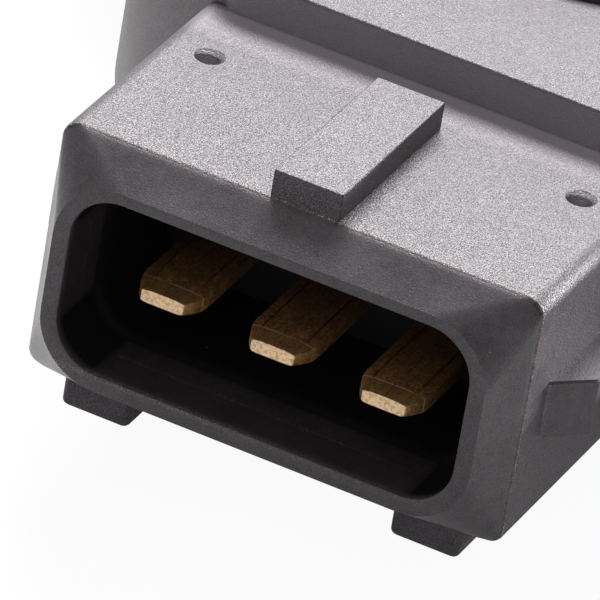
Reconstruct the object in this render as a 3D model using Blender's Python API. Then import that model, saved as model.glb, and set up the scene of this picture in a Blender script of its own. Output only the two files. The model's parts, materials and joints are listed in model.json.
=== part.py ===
"""Throttle position sensor: a potentiometer housing with a three-blade plug shroud.

The rotor's axis is Z and the plug's mouth looks along -Y. Heights in the functions
below are counted up from the mounting plane, where the sensor meets the throttle body.
An empty at that plane carries every piece and sets it down by the height of the cover,
so the world origin is the centre of the cover's top face.
"""

import math

import bmesh
import bpy
from mathutils import Vector

# Gaps between pieces
SEAT_GAP = 0.0003
RUNNING_GAP = 0.0002
FILM_GAP = 0.0001

# Plug shroud, measured outwards from the mouth
MOUTH_WIDTH = 0.01708
MOUTH_HEIGHT = 0.00768
MOUTH_DEPTH = 0.009
MOUTH_CORNER = 0.002
MOUTH_LEAD = 0.00015
STEP_INSET = 0.0002
STEP_DEPTH = 0.0029
SIDE_WALL = 0.00176
FLOOR_WALL = 0.00166
ROOF_WALL = 0.0016
RIM_WIDTH = 0.0007
NOSE_LENGTH = 0.00193
TOP_EDGE = 0.00075
BOTTOM_EDGE = 0.00056
PLUG_REACH = 0.01355

# Key rib, side lugs, feet and dimples of the shroud
RIB_WIDTH = 0.00296
RIB_HEIGHT = 0.00118
RIB_LENGTH = 0.009
LUG_PROUD = 0.00146
LUG_HEIGHT = 0.00256
LUG_LENGTH = 0.0055
LUG_SETBACK = 0.00384
LUG_DROP = 0.00034
FOOT_WIDTH = 0.00295
FOOT_DROP = 0.0014
FOOT_LENGTH = 0.009
FOOT_SPREAD = 0.01433
DIMPLE_RADIUS = 0.00057
DIMPLE_DEPTH = 0.00045
DIMPLE_SPREAD = 0.0161
DIMPLE_SETBACK = 0.00981
SMALL_ROUND = 0.0002

# Terminals
BLADE_WIDTH = 0.0028
BLADE_THICKNESS = 0.0008
BLADE_PITCH = 0.005
BLADE_SETBACK = 0.00118
BLADE_STAGGER = 0.00047
BLADE_DROP = 0.00063
BLADE_TAPER = 0.0014
BLADE_COINING = 0.00045
TAIL_WIDTH = 0.0012
TAIL_PITCH = 0.0026
TAIL_BEND = 0.001
PIN_WIDTH = 0.0007
PIN_THICKNESS = 0.0006

# Shaft socket, rotor and the parts round its hub
SOCKET_RADIUS = 0.0041
SOCKET_FLAT = 0.0031
SOCKET_DEPTH = 0.0084
HUB_WALL = 0.001
SEAL_WIDTH = 0.0008
SEAL_SEAT_DEPTH = 0.0016
FLANGE_OVERLAP = 0.0005
FLANGE_THICKNESS = 0.0012
THRUST_THICKNESS = 0.0004
ROTOR_BOSS_RADIUS = 0.0028
ROTOR_BOSS_HEIGHT = 0.0012
ROTOR_PIN_RADIUS = 0.0009
STOP_REACH = 0.0011
STOP_WIDTH_DEG = 16.0
TRAVEL_DEG = 95.0
REST_DEG = 42.5
WAVE_HEIGHT = 0.0007
WAVE_THICKNESS = 0.0002
CLIP_WIDTH = 0.003
CLIP_THICKNESS = 0.00025
CLIP_LENGTH = 0.0065

# Track board and wiper
BOARD_THICKNESS = 0.0008
BOARD_LEDGE = 0.0006
TRACK_WIDTH = 0.0013
TRACK_THICKNESS = 0.00015
TRACK_SPACING = 0.0019
TRACK_GAP_DEG = 60.0
FINGER_WIDTH = 0.0004
FINGER_SPREAD = 0.0006
WIPER_THICKNESS = 0.00025
SOLDER_HEIGHT = 0.0005

# Cover
COVER_RISE = 0.00085
COVER_THICKNESS = 0.0016
COVER_LEDGE = 0.00045
COVER_EDGE = 0.0003
COVER_SEAL_THICKNESS = 0.0004
SKIRT_WALL = 0.0008

# Body, ears and spigot
RISER_ROOM = 0.0003
WELL_ROOM = 0.0008
BODY_WALL = 0.0094
STEP_RISE = 0.00168
FLAT_CUT = 0.00231
FLAT_CORNER = 0.0018
BODY_TOP_EDGE = 0.00015
BODY_BOTTOM_EDGE = 0.0013
EAR_ANGLE_DEG = -30.0
EAR_REACH = 0.00615
EAR_END_RADIUS = 0.0065
EAR_THICKNESS = 0.006
EAR_FILLET = 0.0025
EAR_EDGE = 0.0004
BUSH_BORE_RADIUS = 0.00215
BUSH_WALL = 0.0011
RING_INNER_RADIUS = 0.007325
RING_SECTION = 0.002
RING_PROUD = 0.000325
SPIGOT_LENGTH = 0.0042
TERMINAL_COVER = 0.00074

# Moulding pockets in the underside
POCKET_COUNT = 8
POCKET_SPAN_DEG = 256.0
POCKET_RIB = 0.0014
POCKET_SKIN = 0.0016
POCKET_ROOF = 0.0021

# Radii worked out from the hub outwards
HUB_RADIUS = SOCKET_RADIUS + HUB_WALL
BORE_RADIUS = HUB_RADIUS + RUNNING_GAP
SEAL_SEAT_RADIUS = BORE_RADIUS + SEAL_WIDTH
FLANGE_RADIUS = SEAL_SEAT_RADIUS + FLANGE_OVERLAP
RISER_OFFSET = FLANGE_RADIUS + RISER_ROOM + BLADE_THICKNESS / 2
WELL_RADIUS = RISER_OFFSET + WELL_ROOM
CAVITY_RADIUS = WELL_RADIUS + BOARD_LEDGE
COVER_RADIUS = CAVITY_RADIUS + COVER_LEDGE
RECESS_RADIUS = COVER_RADIUS + SEAT_GAP
BODY_RADIUS = RECESS_RADIUS + BODY_WALL
FLAT_OFFSET = BODY_RADIUS - FLAT_CUT
MOUTH_OFFSET = FLAT_OFFSET + PLUG_REACH
EAR_OFFSET = BODY_RADIUS + EAR_REACH
GROOVE_RADIUS = RING_INNER_RADIUS - SEAT_GAP
SPIGOT_RADIUS = RING_INNER_RADIUS + RING_SECTION - RING_PROUD
RESISTIVE_RADIUS = FLANGE_RADIUS + BLADE_THICKNESS / 2
COLLECTOR_RADIUS = RESISTIVE_RADIUS - TRACK_SPACING

# Heights above the mounting plane
SHROUD_HEIGHT = FLOOR_WALL + MOUTH_HEIGHT + ROOF_WALL
SHROUD_WIDTH = MOUTH_WIDTH + 2 * SIDE_WALL
MOUTH_MIDDLE = FLOOR_WALL + MOUTH_HEIGHT / 2
BODY_HEIGHT = SHROUD_HEIGHT + STEP_RISE
COVER_TOP = BODY_HEIGHT + COVER_RISE
COVER_BOTTOM = COVER_TOP - COVER_THICKNESS
COVER_SEAL_BOTTOM = COVER_BOTTOM - SEAT_GAP - COVER_SEAL_THICKNESS
RECESS_FLOOR = COVER_SEAL_BOTTOM - SEAT_GAP
BOARD_TOP = RECESS_FLOOR - SEAT_GAP
BOARD_BOTTOM = BOARD_TOP - BOARD_THICKNESS
LEDGE_HEIGHT = BOARD_BOTTOM - SEAT_GAP
TRACK_BOTTOM = BOARD_BOTTOM - FILM_GAP - TRACK_THICKNESS
FINGER_TOP = TRACK_BOTTOM - RUNNING_GAP
TERMINAL_HEIGHT = MOUTH_MIDDLE - BLADE_DROP
WELL_FLOOR = TERMINAL_HEIGHT + TERMINAL_COVER
THRUST_BOTTOM = WELL_FLOOR + SEAT_GAP
FLANGE_BOTTOM = THRUST_BOTTOM + THRUST_THICKNESS + SEAT_GAP
FLANGE_TOP = FLANGE_BOTTOM + FLANGE_THICKNESS
ROTOR_TOP = FLANGE_TOP + ROTOR_BOSS_HEIGHT
COVER_BOSS_BOTTOM = ROTOR_TOP + WAVE_HEIGHT + 2 * SEAT_GAP
ROTOR_PIN_TOP = COVER_BOSS_BOTTOM + SEAT_GAP
WIPER_BOTTOM = FLANGE_TOP + SEAT_GAP
PIN_TOP = COVER_BOTTOM - 2 * SEAT_GAP
HUB_BOTTOM = SEAT_GAP - SPIGOT_LENGTH
MOUTH_BACK = MOUTH_DEPTH - MOUTH_OFFSET

ROUND_STEPS = 64
RING_STEPS = 36
FINE_STEPS = 16
CORNER_STEPS = 5
ROUND_PROFILE = 0.5
OVERSHOOT = 0.001


def clear_scene():
    for item in list(bpy.data.objects):
        bpy.data.objects.remove(item, do_unlink=True)


def make_material(name, color, roughness, metallic):
    material = bpy.data.materials.new(name)
    material.use_nodes = True
    shader = material.node_tree.nodes["Principled BSDF"]
    shader.inputs["Base Color"].default_value = (*color, 1.0)
    shader.inputs["Roughness"].default_value = roughness
    shader.inputs["Metallic"].default_value = metallic
    return material


def polar(radius, degrees, height=0.0):
    angle = math.radians(degrees)
    return Vector((radius * math.cos(angle), radius * math.sin(angle), height))


def arc(centre, radius, start, end, steps):
    """Points of a level arc, from one angle to the other, in degrees."""
    return [centre + polar(radius, start + (end - start) * i / steps) for i in range(steps + 1)]


def finish_mesh(mesh, name):
    """Closes a bmesh into named mesh data with its faces pointing out."""
    bmesh.ops.recalc_face_normals(mesh, faces=mesh.faces)
    data = bpy.data.meshes.new(name)
    mesh.to_mesh(data)
    mesh.free()
    return data


def loft(name, sections):
    """A solid through loops of equally many points, closed by its first and last loop."""
    mesh = bmesh.new()
    rings = [[mesh.verts.new(point) for point in section] for section in sections]
    for first, second in zip(rings, rings[1:]):
        for i in range(len(first)):
            mesh.faces.new((first[i - 1], first[i], second[i], second[i - 1]))
    mesh.faces.new(rings[0])
    mesh.faces.new(rings[-1])
    return finish_mesh(mesh, name)


def revolve(name, profile, steps, capped=False):
    """A solid turned about Z from (radius, height) points.

    The profile closes on itself as a ring, or its two ends are capped flat.
    """
    mesh = bmesh.new()
    rings = [[mesh.verts.new(polar(radius, 360.0 * i / steps, height)) for i in range(steps)]
             for radius, height in profile]
    pairs = list(zip(rings, rings[1:]))
    if capped:
        mesh.faces.new(rings[0])
        mesh.faces.new(rings[-1])
    else:
        pairs.append((rings[-1], rings[0]))
    for first, second in pairs:
        for i in range(steps):
            mesh.faces.new((first[i - 1], first[i], second[i], second[i - 1]))
    return finish_mesh(mesh, name)


def prism(name, outline, low, high, low_round=0.0, high_round=0.0, side_round=0.0):
    """An upright solid on an outline, with its rims and upright edges rounded as asked."""
    mesh = bmesh.new()
    base = [mesh.verts.new((point.x, point.y, low)) for point in outline]
    roof = [mesh.verts.new((point.x, point.y, high)) for point in outline]
    for i in range(len(base)):
        mesh.faces.new((base[i - 1], base[i], roof[i], roof[i - 1]))
    mesh.faces.new(base)
    mesh.faces.new(roof)
    bmesh.ops.recalc_face_normals(mesh, faces=mesh.faces)
    if side_round:
        upright = [e for e in mesh.edges if abs(e.verts[0].co.z - e.verts[1].co.z) > OVERSHOOT / 10]
        bmesh.ops.bevel(mesh, geom=upright, offset=side_round, segments=2, affect="EDGES",
                         profile=ROUND_PROFILE)
    for height, amount in ((low, low_round), (high, high_round)):
        if amount:
            rim = [e for e in mesh.edges if all(abs(v.co.z - height) < OVERSHOOT / 1000 for v in e.verts)]
            bmesh.ops.bevel(mesh, geom=rim, offset=amount, segments=3, affect="EDGES",
                             profile=ROUND_PROFILE)
    return finish_mesh(mesh, name)


def merged(name, parts):
    """Several meshes that don't touch, as the shells of one cutter."""
    mesh = bmesh.new()
    for part in parts:
        mesh.from_mesh(part)
    return finish_mesh(mesh, name)


def box_outline(x_low, x_high, y_low, y_high):
    return [Vector((x_low, y_low, 0)), Vector((x_high, y_low, 0)), Vector((x_high, y_high, 0)),
            Vector((x_low, y_high, 0))]


def sector_outline(inner, outer, start, end, steps):
    centre = Vector((0, 0, 0))
    return arc(centre, outer, start, end, steps) + arc(centre, inner, end, start, steps)


def mouth_loop(half_width, low, high, low_round, high_round, depth):
    """A rounded upright rectangle, seen from the plug's side."""
    corners = ((1, low + low_round, low_round, -90), (1, high - high_round, high_round, 0),
               (-1, high - high_round, high_round, 90), (-1, low + low_round, low_round, 180))
    loop = []
    for side, middle, radius, start in corners:
        for i in range(CORNER_STEPS + 1):
            angle = math.radians(start + 90.0 * i / CORNER_STEPS)
            across = side * (half_width - radius) + radius * math.cos(angle)
            loop.append(Vector((across, depth, middle + radius * math.sin(angle))))
    return loop


def place(name, data, material, datum):
    """A piece of the sensor, hung from the mounting plane and shaded smooth."""
    item = bpy.data.objects.new(name, data)
    bpy.context.scene.collection.objects.link(item)
    item.parent = datum
    item.data.materials.append(material)
    item.data.shade_smooth()
    item.data.set_sharp_from_angle(angle=math.radians(35))
    return item


def combine(target, data, operation, datum):
    """Joins a shape to a piece or cuts it away, with the shape kept as a hidden guide."""
    tool = bpy.data.objects.new(data.name, data)
    bpy.context.scene.collection.objects.link(tool)
    tool.parent = datum
    tool.hide_render = True
    tool.display_type = "WIRE"
    modifier = target.modifiers.new(data.name, "BOOLEAN")
    modifier.operation = operation
    modifier.object = tool


def body_outline():
    """The round body, cut flat towards the plug, with the flat's corners rounded."""
    centre_y = FLAT_CORNER - FLAT_OFFSET
    centre_x = math.sqrt((BODY_RADIUS - FLAT_CORNER) ** 2 - centre_y ** 2)
    turn = math.degrees(math.atan2(centre_y, centre_x))
    outline = arc(Vector((0, 0, 0)), BODY_RADIUS, turn, 180 - turn, ROUND_STEPS)
    outline += arc(Vector((-centre_x, centre_y, 0)), FLAT_CORNER, 180 - turn, 270, CORNER_STEPS)[1:]
    outline += arc(Vector((centre_x, centre_y, 0)), FLAT_CORNER, -90, turn, CORNER_STEPS)[:-1]
    return outline


def ear_outline():
    """An ear along +X before it is turned: a round end, straight sides and filleted roots."""
    root_y = EAR_END_RADIUS + EAR_FILLET
    root_x = math.sqrt((BODY_RADIUS + EAR_FILLET) ** 2 - root_y ** 2)
    lean = math.degrees(math.atan2(root_y, root_x))
    side = arc(Vector((root_x, root_y, 0)), EAR_FILLET, 270, 180 + lean, 5)
    outline = arc(Vector((EAR_OFFSET, 0, 0)), EAR_END_RADIUS, -90, 90, 18) + side
    outline += [Vector((BODY_RADIUS / 2, side[-1].y, 0)), Vector((BODY_RADIUS / 2, -side[-1].y, 0))]
    outline += [Vector((point.x, -point.y, 0)) for point in reversed(side)]
    return outline


def turned_outline(outline, degrees):
    turn = math.radians(degrees)
    return [Vector((p.x * math.cos(turn) - p.y * math.sin(turn),
                    p.x * math.sin(turn) + p.y * math.cos(turn), 0)) for p in outline]


def shroud_shape():
    """The plug's shroud: a flat rim, a bevelled nose and a straight tube into the body."""
    half = SHROUD_WIDTH / 2
    rim_half = MOUTH_WIDTH / 2 + RIM_WIDTH
    rim_low, rim_high = FLOOR_WALL - RIM_WIDTH, SHROUD_HEIGHT - ROOF_WALL + RIM_WIDTH
    corner = MOUTH_CORNER + RIM_WIDTH
    front = mouth_loop(rim_half, rim_low, rim_high, corner, corner, -MOUTH_OFFSET)
    nose = mouth_loop(half, 0, SHROUD_HEIGHT, BOTTOM_EDGE, TOP_EDGE, NOSE_LENGTH - MOUTH_OFFSET)
    back = mouth_loop(half, 0, SHROUD_HEIGHT, BOTTOM_EDGE, TOP_EDGE, BODY_WALL / 2 - FLAT_OFFSET)
    return loft("shroud_guide", [front, nose, back])


def mouth_shape():
    """The cavity of the shroud: a lead-in, then walls that step in at the sides and floor."""
    half = MOUTH_WIDTH / 2
    low, high = FLOOR_WALL, FLOOR_WALL + MOUTH_HEIGHT

    def section(grow, step, depth):
        return mouth_loop(half + grow - step, low - grow + step, high + grow, MOUTH_CORNER, MOUTH_CORNER, depth)

    return loft("mouth_guide", [
        section(MOUTH_LEAD + OVERSHOOT, 0, -MOUTH_OFFSET - OVERSHOOT),
        section(MOUTH_LEAD, 0, -MOUTH_OFFSET),
        section(0, 0, MOUTH_LEAD - MOUTH_OFFSET),
        section(0, 0, STEP_DEPTH - MOUTH_OFFSET),
        section(0, STEP_INSET, STEP_DEPTH + STEP_INSET - MOUTH_OFFSET),
        section(0, STEP_INSET, MOUTH_BACK)])


def rib_shape():
    front = NOSE_LENGTH - MOUTH_OFFSET
    outline = box_outline(-RIB_WIDTH / 2, RIB_WIDTH / 2, front, front + RIB_LENGTH)
    top = SHROUD_HEIGHT + RIB_HEIGHT
    return prism("rib_guide", outline, SHROUD_HEIGHT - RIB_HEIGHT, top, 0, SMALL_ROUND, SMALL_ROUND)


def lug_shape(side):
    """A latch lug: a ramp towards the plug, a flat and a square back."""
    wall = SHROUD_WIDTH / 2
    front = LUG_SETBACK - MOUTH_OFFSET
    outline = [Vector((side * x, y, 0)) for x, y in (
        (wall - LUG_PROUD, front - LUG_PROUD), (wall + LUG_PROUD, front + LUG_PROUD),
        (wall + LUG_PROUD, front + LUG_LENGTH), (wall - LUG_PROUD, front + LUG_LENGTH))]
    middle = MOUTH_MIDDLE - LUG_DROP
    name = "lug_guide_left" if side < 0 else "lug_guide_right"
    return prism(name, outline, middle - LUG_HEIGHT / 2, middle + LUG_HEIGHT / 2, SMALL_ROUND, SMALL_ROUND)


def feet_shape():
    """Two feet under the shroud, one towards each side."""
    front = NOSE_LENGTH - MOUTH_OFFSET
    feet = []
    for middle in (-FOOT_SPREAD / 2, FOOT_SPREAD / 2):
        outline = box_outline(middle - FOOT_WIDTH / 2, middle + FOOT_WIDTH / 2, front, front + FOOT_LENGTH)
        feet.append(prism("foot", outline, -FOOT_DROP, FOOT_DROP, SMALL_ROUND, 0, SMALL_ROUND))
    return merged("feet_guide", feet)


def spigot_shape():
    """The spigot under the body, with the sealing ring's groove."""
    groove_top = -(SPIGOT_LENGTH - RING_SECTION - 2 * SEAT_GAP) / 2
    groove_low = -SPIGOT_LENGTH - groove_top
    return revolve("spigot_guide", [
        (SPIGOT_RADIUS - SMALL_ROUND, -SPIGOT_LENGTH), (SPIGOT_RADIUS, SMALL_ROUND - SPIGOT_LENGTH),
        (SPIGOT_RADIUS, groove_low), (GROOVE_RADIUS, groove_low), (GROOVE_RADIUS, groove_top),
        (SPIGOT_RADIUS, groove_top), (SPIGOT_RADIUS, OVERSHOOT)], ROUND_STEPS, capped=True)


def core_shape():
    """What is bored from the body: hub bore, seal seat, rotor well, board seat, cover recess."""
    seat = WELL_FLOOR - SEAL_SEAT_DEPTH
    return revolve("core_guide", [
        (BORE_RADIUS, -SPIGOT_LENGTH - OVERSHOOT), (BORE_RADIUS, seat),
        (SEAL_SEAT_RADIUS, seat), (SEAL_SEAT_RADIUS, WELL_FLOOR),
        (WELL_RADIUS, WELL_FLOOR), (WELL_RADIUS, LEDGE_HEIGHT),
        (CAVITY_RADIUS, LEDGE_HEIGHT), (CAVITY_RADIUS, RECESS_FLOOR),
        (RECESS_RADIUS, RECESS_FLOOR), (RECESS_RADIUS, BODY_HEIGHT + OVERSHOOT)],
        ROUND_STEPS, capped=True)


def pockets_shape():
    """Moulding pockets between radial ribs, open underneath, round the side away from the plug."""
    inner = RECESS_RADIUS + POCKET_SKIN / 2
    outer = BODY_RADIUS - POCKET_SKIN
    pitch = POCKET_SPAN_DEG / POCKET_COUNT
    first = 90 - POCKET_SPAN_DEG / 2
    pockets = []
    for i in range(POCKET_COUNT):
        start, end = first + i * pitch, first + (i + 1) * pitch
        outer_lean = math.degrees(math.asin(POCKET_RIB / 2 / outer))
        inner_lean = math.degrees(math.asin(POCKET_RIB / 2 / inner))
        centre = Vector((0, 0, 0))
        outline = arc(centre, outer, start + outer_lean, end - outer_lean, 6)
        outline += arc(centre, inner, end - inner_lean, start + inner_lean, 6)
        pockets.append(prism("pocket", outline, -OVERSHOOT, BODY_HEIGHT - POCKET_ROOF))
    return merged("pockets_guide", pockets)


def ear_centre(side):
    turn = EAR_ANGLE_DEG if side > 0 else EAR_ANGLE_DEG + 180
    return polar(EAR_OFFSET, turn)


def ear_holes_shape():
    radius = BUSH_BORE_RADIUS + BUSH_WALL + SEAT_GAP
    holes = []
    for side in (-1, 1):
        outline = arc(ear_centre(side), radius, 0, 360, FINE_STEPS)[:-1]
        holes.append(prism("hole", outline, -OVERSHOOT, EAR_THICKNESS + OVERSHOOT))
    return merged("ear_holes_guide", holes)


def dimples_shape():
    y = DIMPLE_SETBACK - MOUTH_OFFSET
    dimples = []
    for x in (-DIMPLE_SPREAD / 2, DIMPLE_SPREAD / 2):
        outline = arc(Vector((x, y, 0)), DIMPLE_RADIUS, 0, 360, FINE_STEPS)[:-1]
        dimples.append(prism("dimple", outline, SHROUD_HEIGHT - DIMPLE_DEPTH, SHROUD_HEIGHT + OVERSHOOT))
    return merged("dimples_guide", dimples)


def bay_shape():
    """Room in the well's floor where the terminals turn up to the board."""
    half = TAIL_PITCH + TAIL_WIDTH / 2 + RISER_ROOM
    middle = -RISER_OFFSET
    reach = BLADE_THICKNESS / 2 + RISER_ROOM
    low = TERMINAL_HEIGHT - BLADE_THICKNESS / 2 - RISER_ROOM
    outline = box_outline(-half, half, middle - reach - SEAT_GAP / 2, middle + reach + SEAT_GAP / 2)
    return prism("bay_guide", outline, low, LEDGE_HEIGHT + SEAT_GAP)


def blade_loop(x, y, z, half_width, half_thickness, coining, lean):
    """A flat section with coined long edges, leaning back from upright by an angle."""
    flat = half_width - coining
    edge = half_thickness * 0.75
    loop = []
    for across, up in ((-half_width, -edge), (-flat, -half_thickness), (flat, -half_thickness),
                       (half_width, -edge), (half_width, edge), (flat, half_thickness),
                       (-flat, half_thickness), (-half_width, edge)):
        loop.append(Vector((x + across, y - up * math.sin(lean), z + up * math.cos(lean))))
    return loop


def terminal_sections(slot, grow, with_blade):
    """Sections from the blade's tip, through the wall, to the pin that stands in the board.

    slot is -1, 0 or 1 across the plug. grow widens every section, for the channel that the
    moulding leaves round the tail.
    """
    blade_x, tail_x = slot * BLADE_PITCH, slot * TAIL_PITCH
    half, thick = BLADE_WIDTH / 2 + grow, BLADE_THICKNESS / 2 + grow
    tail_half = TAIL_WIDTH / 2 + grow
    tip = BLADE_SETBACK - slot * BLADE_STAGGER - MOUTH_OFFSET
    z = TERMINAL_HEIGHT
    sections = []

    def add(x, y, height, width, thickness, coining, lean=0.0):
        sections.append(blade_loop(x, y, height, width, thickness, coining, lean))

    if with_blade:
        for along, width_share, thick_share in ((0, 0.68, 0.66), (0.2, 0.81, 0.8), (0.55, 0.94, 1.0), (1, 1, 1)):
            y = tip + along * BLADE_TAPER
            add(blade_x, y, z, half * width_share, thick * thick_share, BLADE_COINING * width_share)
    else:
        add(blade_x, MOUTH_BACK - OVERSHOOT, z, half, thick, BLADE_COINING)
    wall_end = MOUTH_BACK + BLADE_THICKNESS
    add(blade_x, wall_end, z, half, thick, BLADE_COINING)
    add(blade_x, wall_end + BLADE_THICKNESS, z, tail_half, thick, BLADE_COINING / 2)
    bend_start = -RISER_OFFSET - TAIL_BEND
    jog_start = wall_end + 3 * BLADE_THICKNESS
    add(blade_x, jog_start, z, tail_half, thick, BLADE_COINING / 2)
    add(tail_x, jog_start + (bend_start - jog_start) * 0.6, z, tail_half, thick, BLADE_COINING / 2)
    for i in range(5):
        lean = math.radians(90.0 * i / 4)
        add(tail_x, bend_start + TAIL_BEND * math.sin(lean), z + TAIL_BEND * (1 - math.cos(lean)),
            tail_half, thick, BLADE_COINING / 2, lean)
    neck = LEDGE_HEIGHT - 2 * SEAT_GAP
    add(tail_x, -RISER_OFFSET, neck, tail_half, thick, BLADE_COINING / 2, math.pi / 2)
    if with_blade:
        for height in (neck + SEAT_GAP, PIN_TOP):
            add(tail_x, -RISER_OFFSET, height, PIN_WIDTH / 2, PIN_THICKNESS / 2, BLADE_COINING / 4, math.pi / 2)
    return sections


def stops_shape():
    """Two stops that stand in the well, one at each end of the rotor's travel."""
    clear = math.degrees(SEAT_GAP / FLANGE_RADIUS)
    reach = STOP_WIDTH_DEG / 2 + clear
    low, high = REST_DEG - reach, REST_DEG + TRAVEL_DEG + reach
    inner, outer = FLANGE_RADIUS + SEAT_GAP, WELL_RADIUS + BOARD_LEDGE / 2
    stops = []
    for start, end in ((low - STOP_WIDTH_DEG, low), (high, high + STOP_WIDTH_DEG)):
        outline = sector_outline(inner, outer, start, end, 4)
        stops.append(prism("stop", outline, WELL_FLOOR - STOP_REACH / 3, FLANGE_TOP))
    return merged("stops_guide", stops)


def build_housing(datum):
    plastic = make_material("moulded_plastic", (0.09, 0.085, 0.09), 0.5, 0.0)
    body = prism("body", body_outline(), 0, BODY_HEIGHT, BODY_BOTTOM_EDGE, BODY_TOP_EDGE)
    housing = place("housing", body, plastic, datum)
    for name, turn in (("ear_guide_right", EAR_ANGLE_DEG), ("ear_guide_left", EAR_ANGLE_DEG + 180)):
        ear = prism(name, turned_outline(ear_outline(), turn), 0, EAR_THICKNESS, 0, EAR_EDGE)
        combine(housing, ear, "UNION", datum)
    for shape in (shroud_shape(), spigot_shape(), rib_shape(), lug_shape(-1), lug_shape(1), feet_shape()):
        combine(housing, shape, "UNION", datum)
    cutters = [core_shape(), mouth_shape(), bay_shape(), pockets_shape(), ear_holes_shape(), dimples_shape()]
    for slot, name in ((-1, "supply"), (0, "signal"), (1, "ground")):
        cutters.append(loft("channel_guide_" + name, terminal_sections(slot, SEAT_GAP, False)))
    for shape in cutters:
        combine(housing, shape, "DIFFERENCE", datum)
    combine(housing, stops_shape(), "UNION", datum)


def build_terminals(datum):
    brass = make_material("terminal_brass", (0.55, 0.42, 0.26), 0.3, 1.0)
    solder = make_material("solder", (0.62, 0.62, 0.64), 0.35, 1.0)
    for slot, name in ((-1, "supply"), (0, "signal"), (1, "ground")):
        place("terminal_" + name, loft("terminal_" + name, terminal_sections(slot, 0.0, True)), brass, datum)
        low = BOARD_TOP + FILM_GAP
        inner = PIN_WIDTH * 0.85
        profile = [(inner, low), (inner * 1.9, low), (inner * 1.5, low + SOLDER_HEIGHT * 0.4),
                   (inner * 1.2, low + SOLDER_HEIGHT), (inner, low + SOLDER_HEIGHT)]
        joint = place("solder_" + name, revolve("solder_" + name, profile, FINE_STEPS - 4), solder, datum)
        joint.location = (slot * TAIL_PITCH, -RISER_OFFSET, 0)


def build_board(datum):
    """The printed board with its two carbon and metal tracks facing down to the wiper."""
    laminate = make_material("board_laminate", (0.32, 0.24, 0.12), 0.6, 0.0)
    carbon = make_material("carbon_track", (0.02, 0.02, 0.022), 0.45, 0.0)
    silver = make_material("collector_metal", (0.6, 0.58, 0.55), 0.35, 1.0)
    hole = ROTOR_BOSS_RADIUS + RISER_ROOM
    outer = CAVITY_RADIUS - SEAT_GAP
    board = place("track_board", revolve("track_board", [
        (hole, BOARD_BOTTOM), (outer, BOARD_BOTTOM), (outer, BOARD_TOP), (hole, BOARD_TOP)],
        RING_STEPS), laminate, datum)
    holes = []
    for slot in (-1, 0, 1):
        outline = arc(Vector((slot * TAIL_PITCH, -RISER_OFFSET, 0)), PIN_WIDTH, 0, 360, 12)[:-1]
        holes.append(prism("pin_hole", outline, BOARD_BOTTOM - OVERSHOOT, BOARD_TOP + OVERSHOOT))
    combine(board, merged("pin_holes_guide", holes), "DIFFERENCE", datum)
    start, end = -90 + TRACK_GAP_DEG / 2, 270 - TRACK_GAP_DEG / 2
    for name, radius, material in (("resistive_track", RESISTIVE_RADIUS, carbon),
                                   ("collector_track", COLLECTOR_RADIUS, silver)):
        outline = sector_outline(radius - TRACK_WIDTH / 2, radius + TRACK_WIDTH / 2, start, end, RING_STEPS)
        track = prism(name, outline, TRACK_BOTTOM, TRACK_BOTTOM + TRACK_THICKNESS)
        place(name, track, material, datum)


def socket_shape():
    """The D-shaped socket for the throttle shaft, with a groove behind its flat for the clip."""
    half = math.degrees(math.acos(SOCKET_FLAT / SOCKET_RADIUS))
    outline = arc(Vector((0, 0, 0)), SOCKET_RADIUS, 90 + half, 450 - half, 36)
    return prism("socket_guide", outline, HUB_BOTTOM - OVERSHOOT, HUB_BOTTOM + SOCKET_DEPTH)


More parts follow.
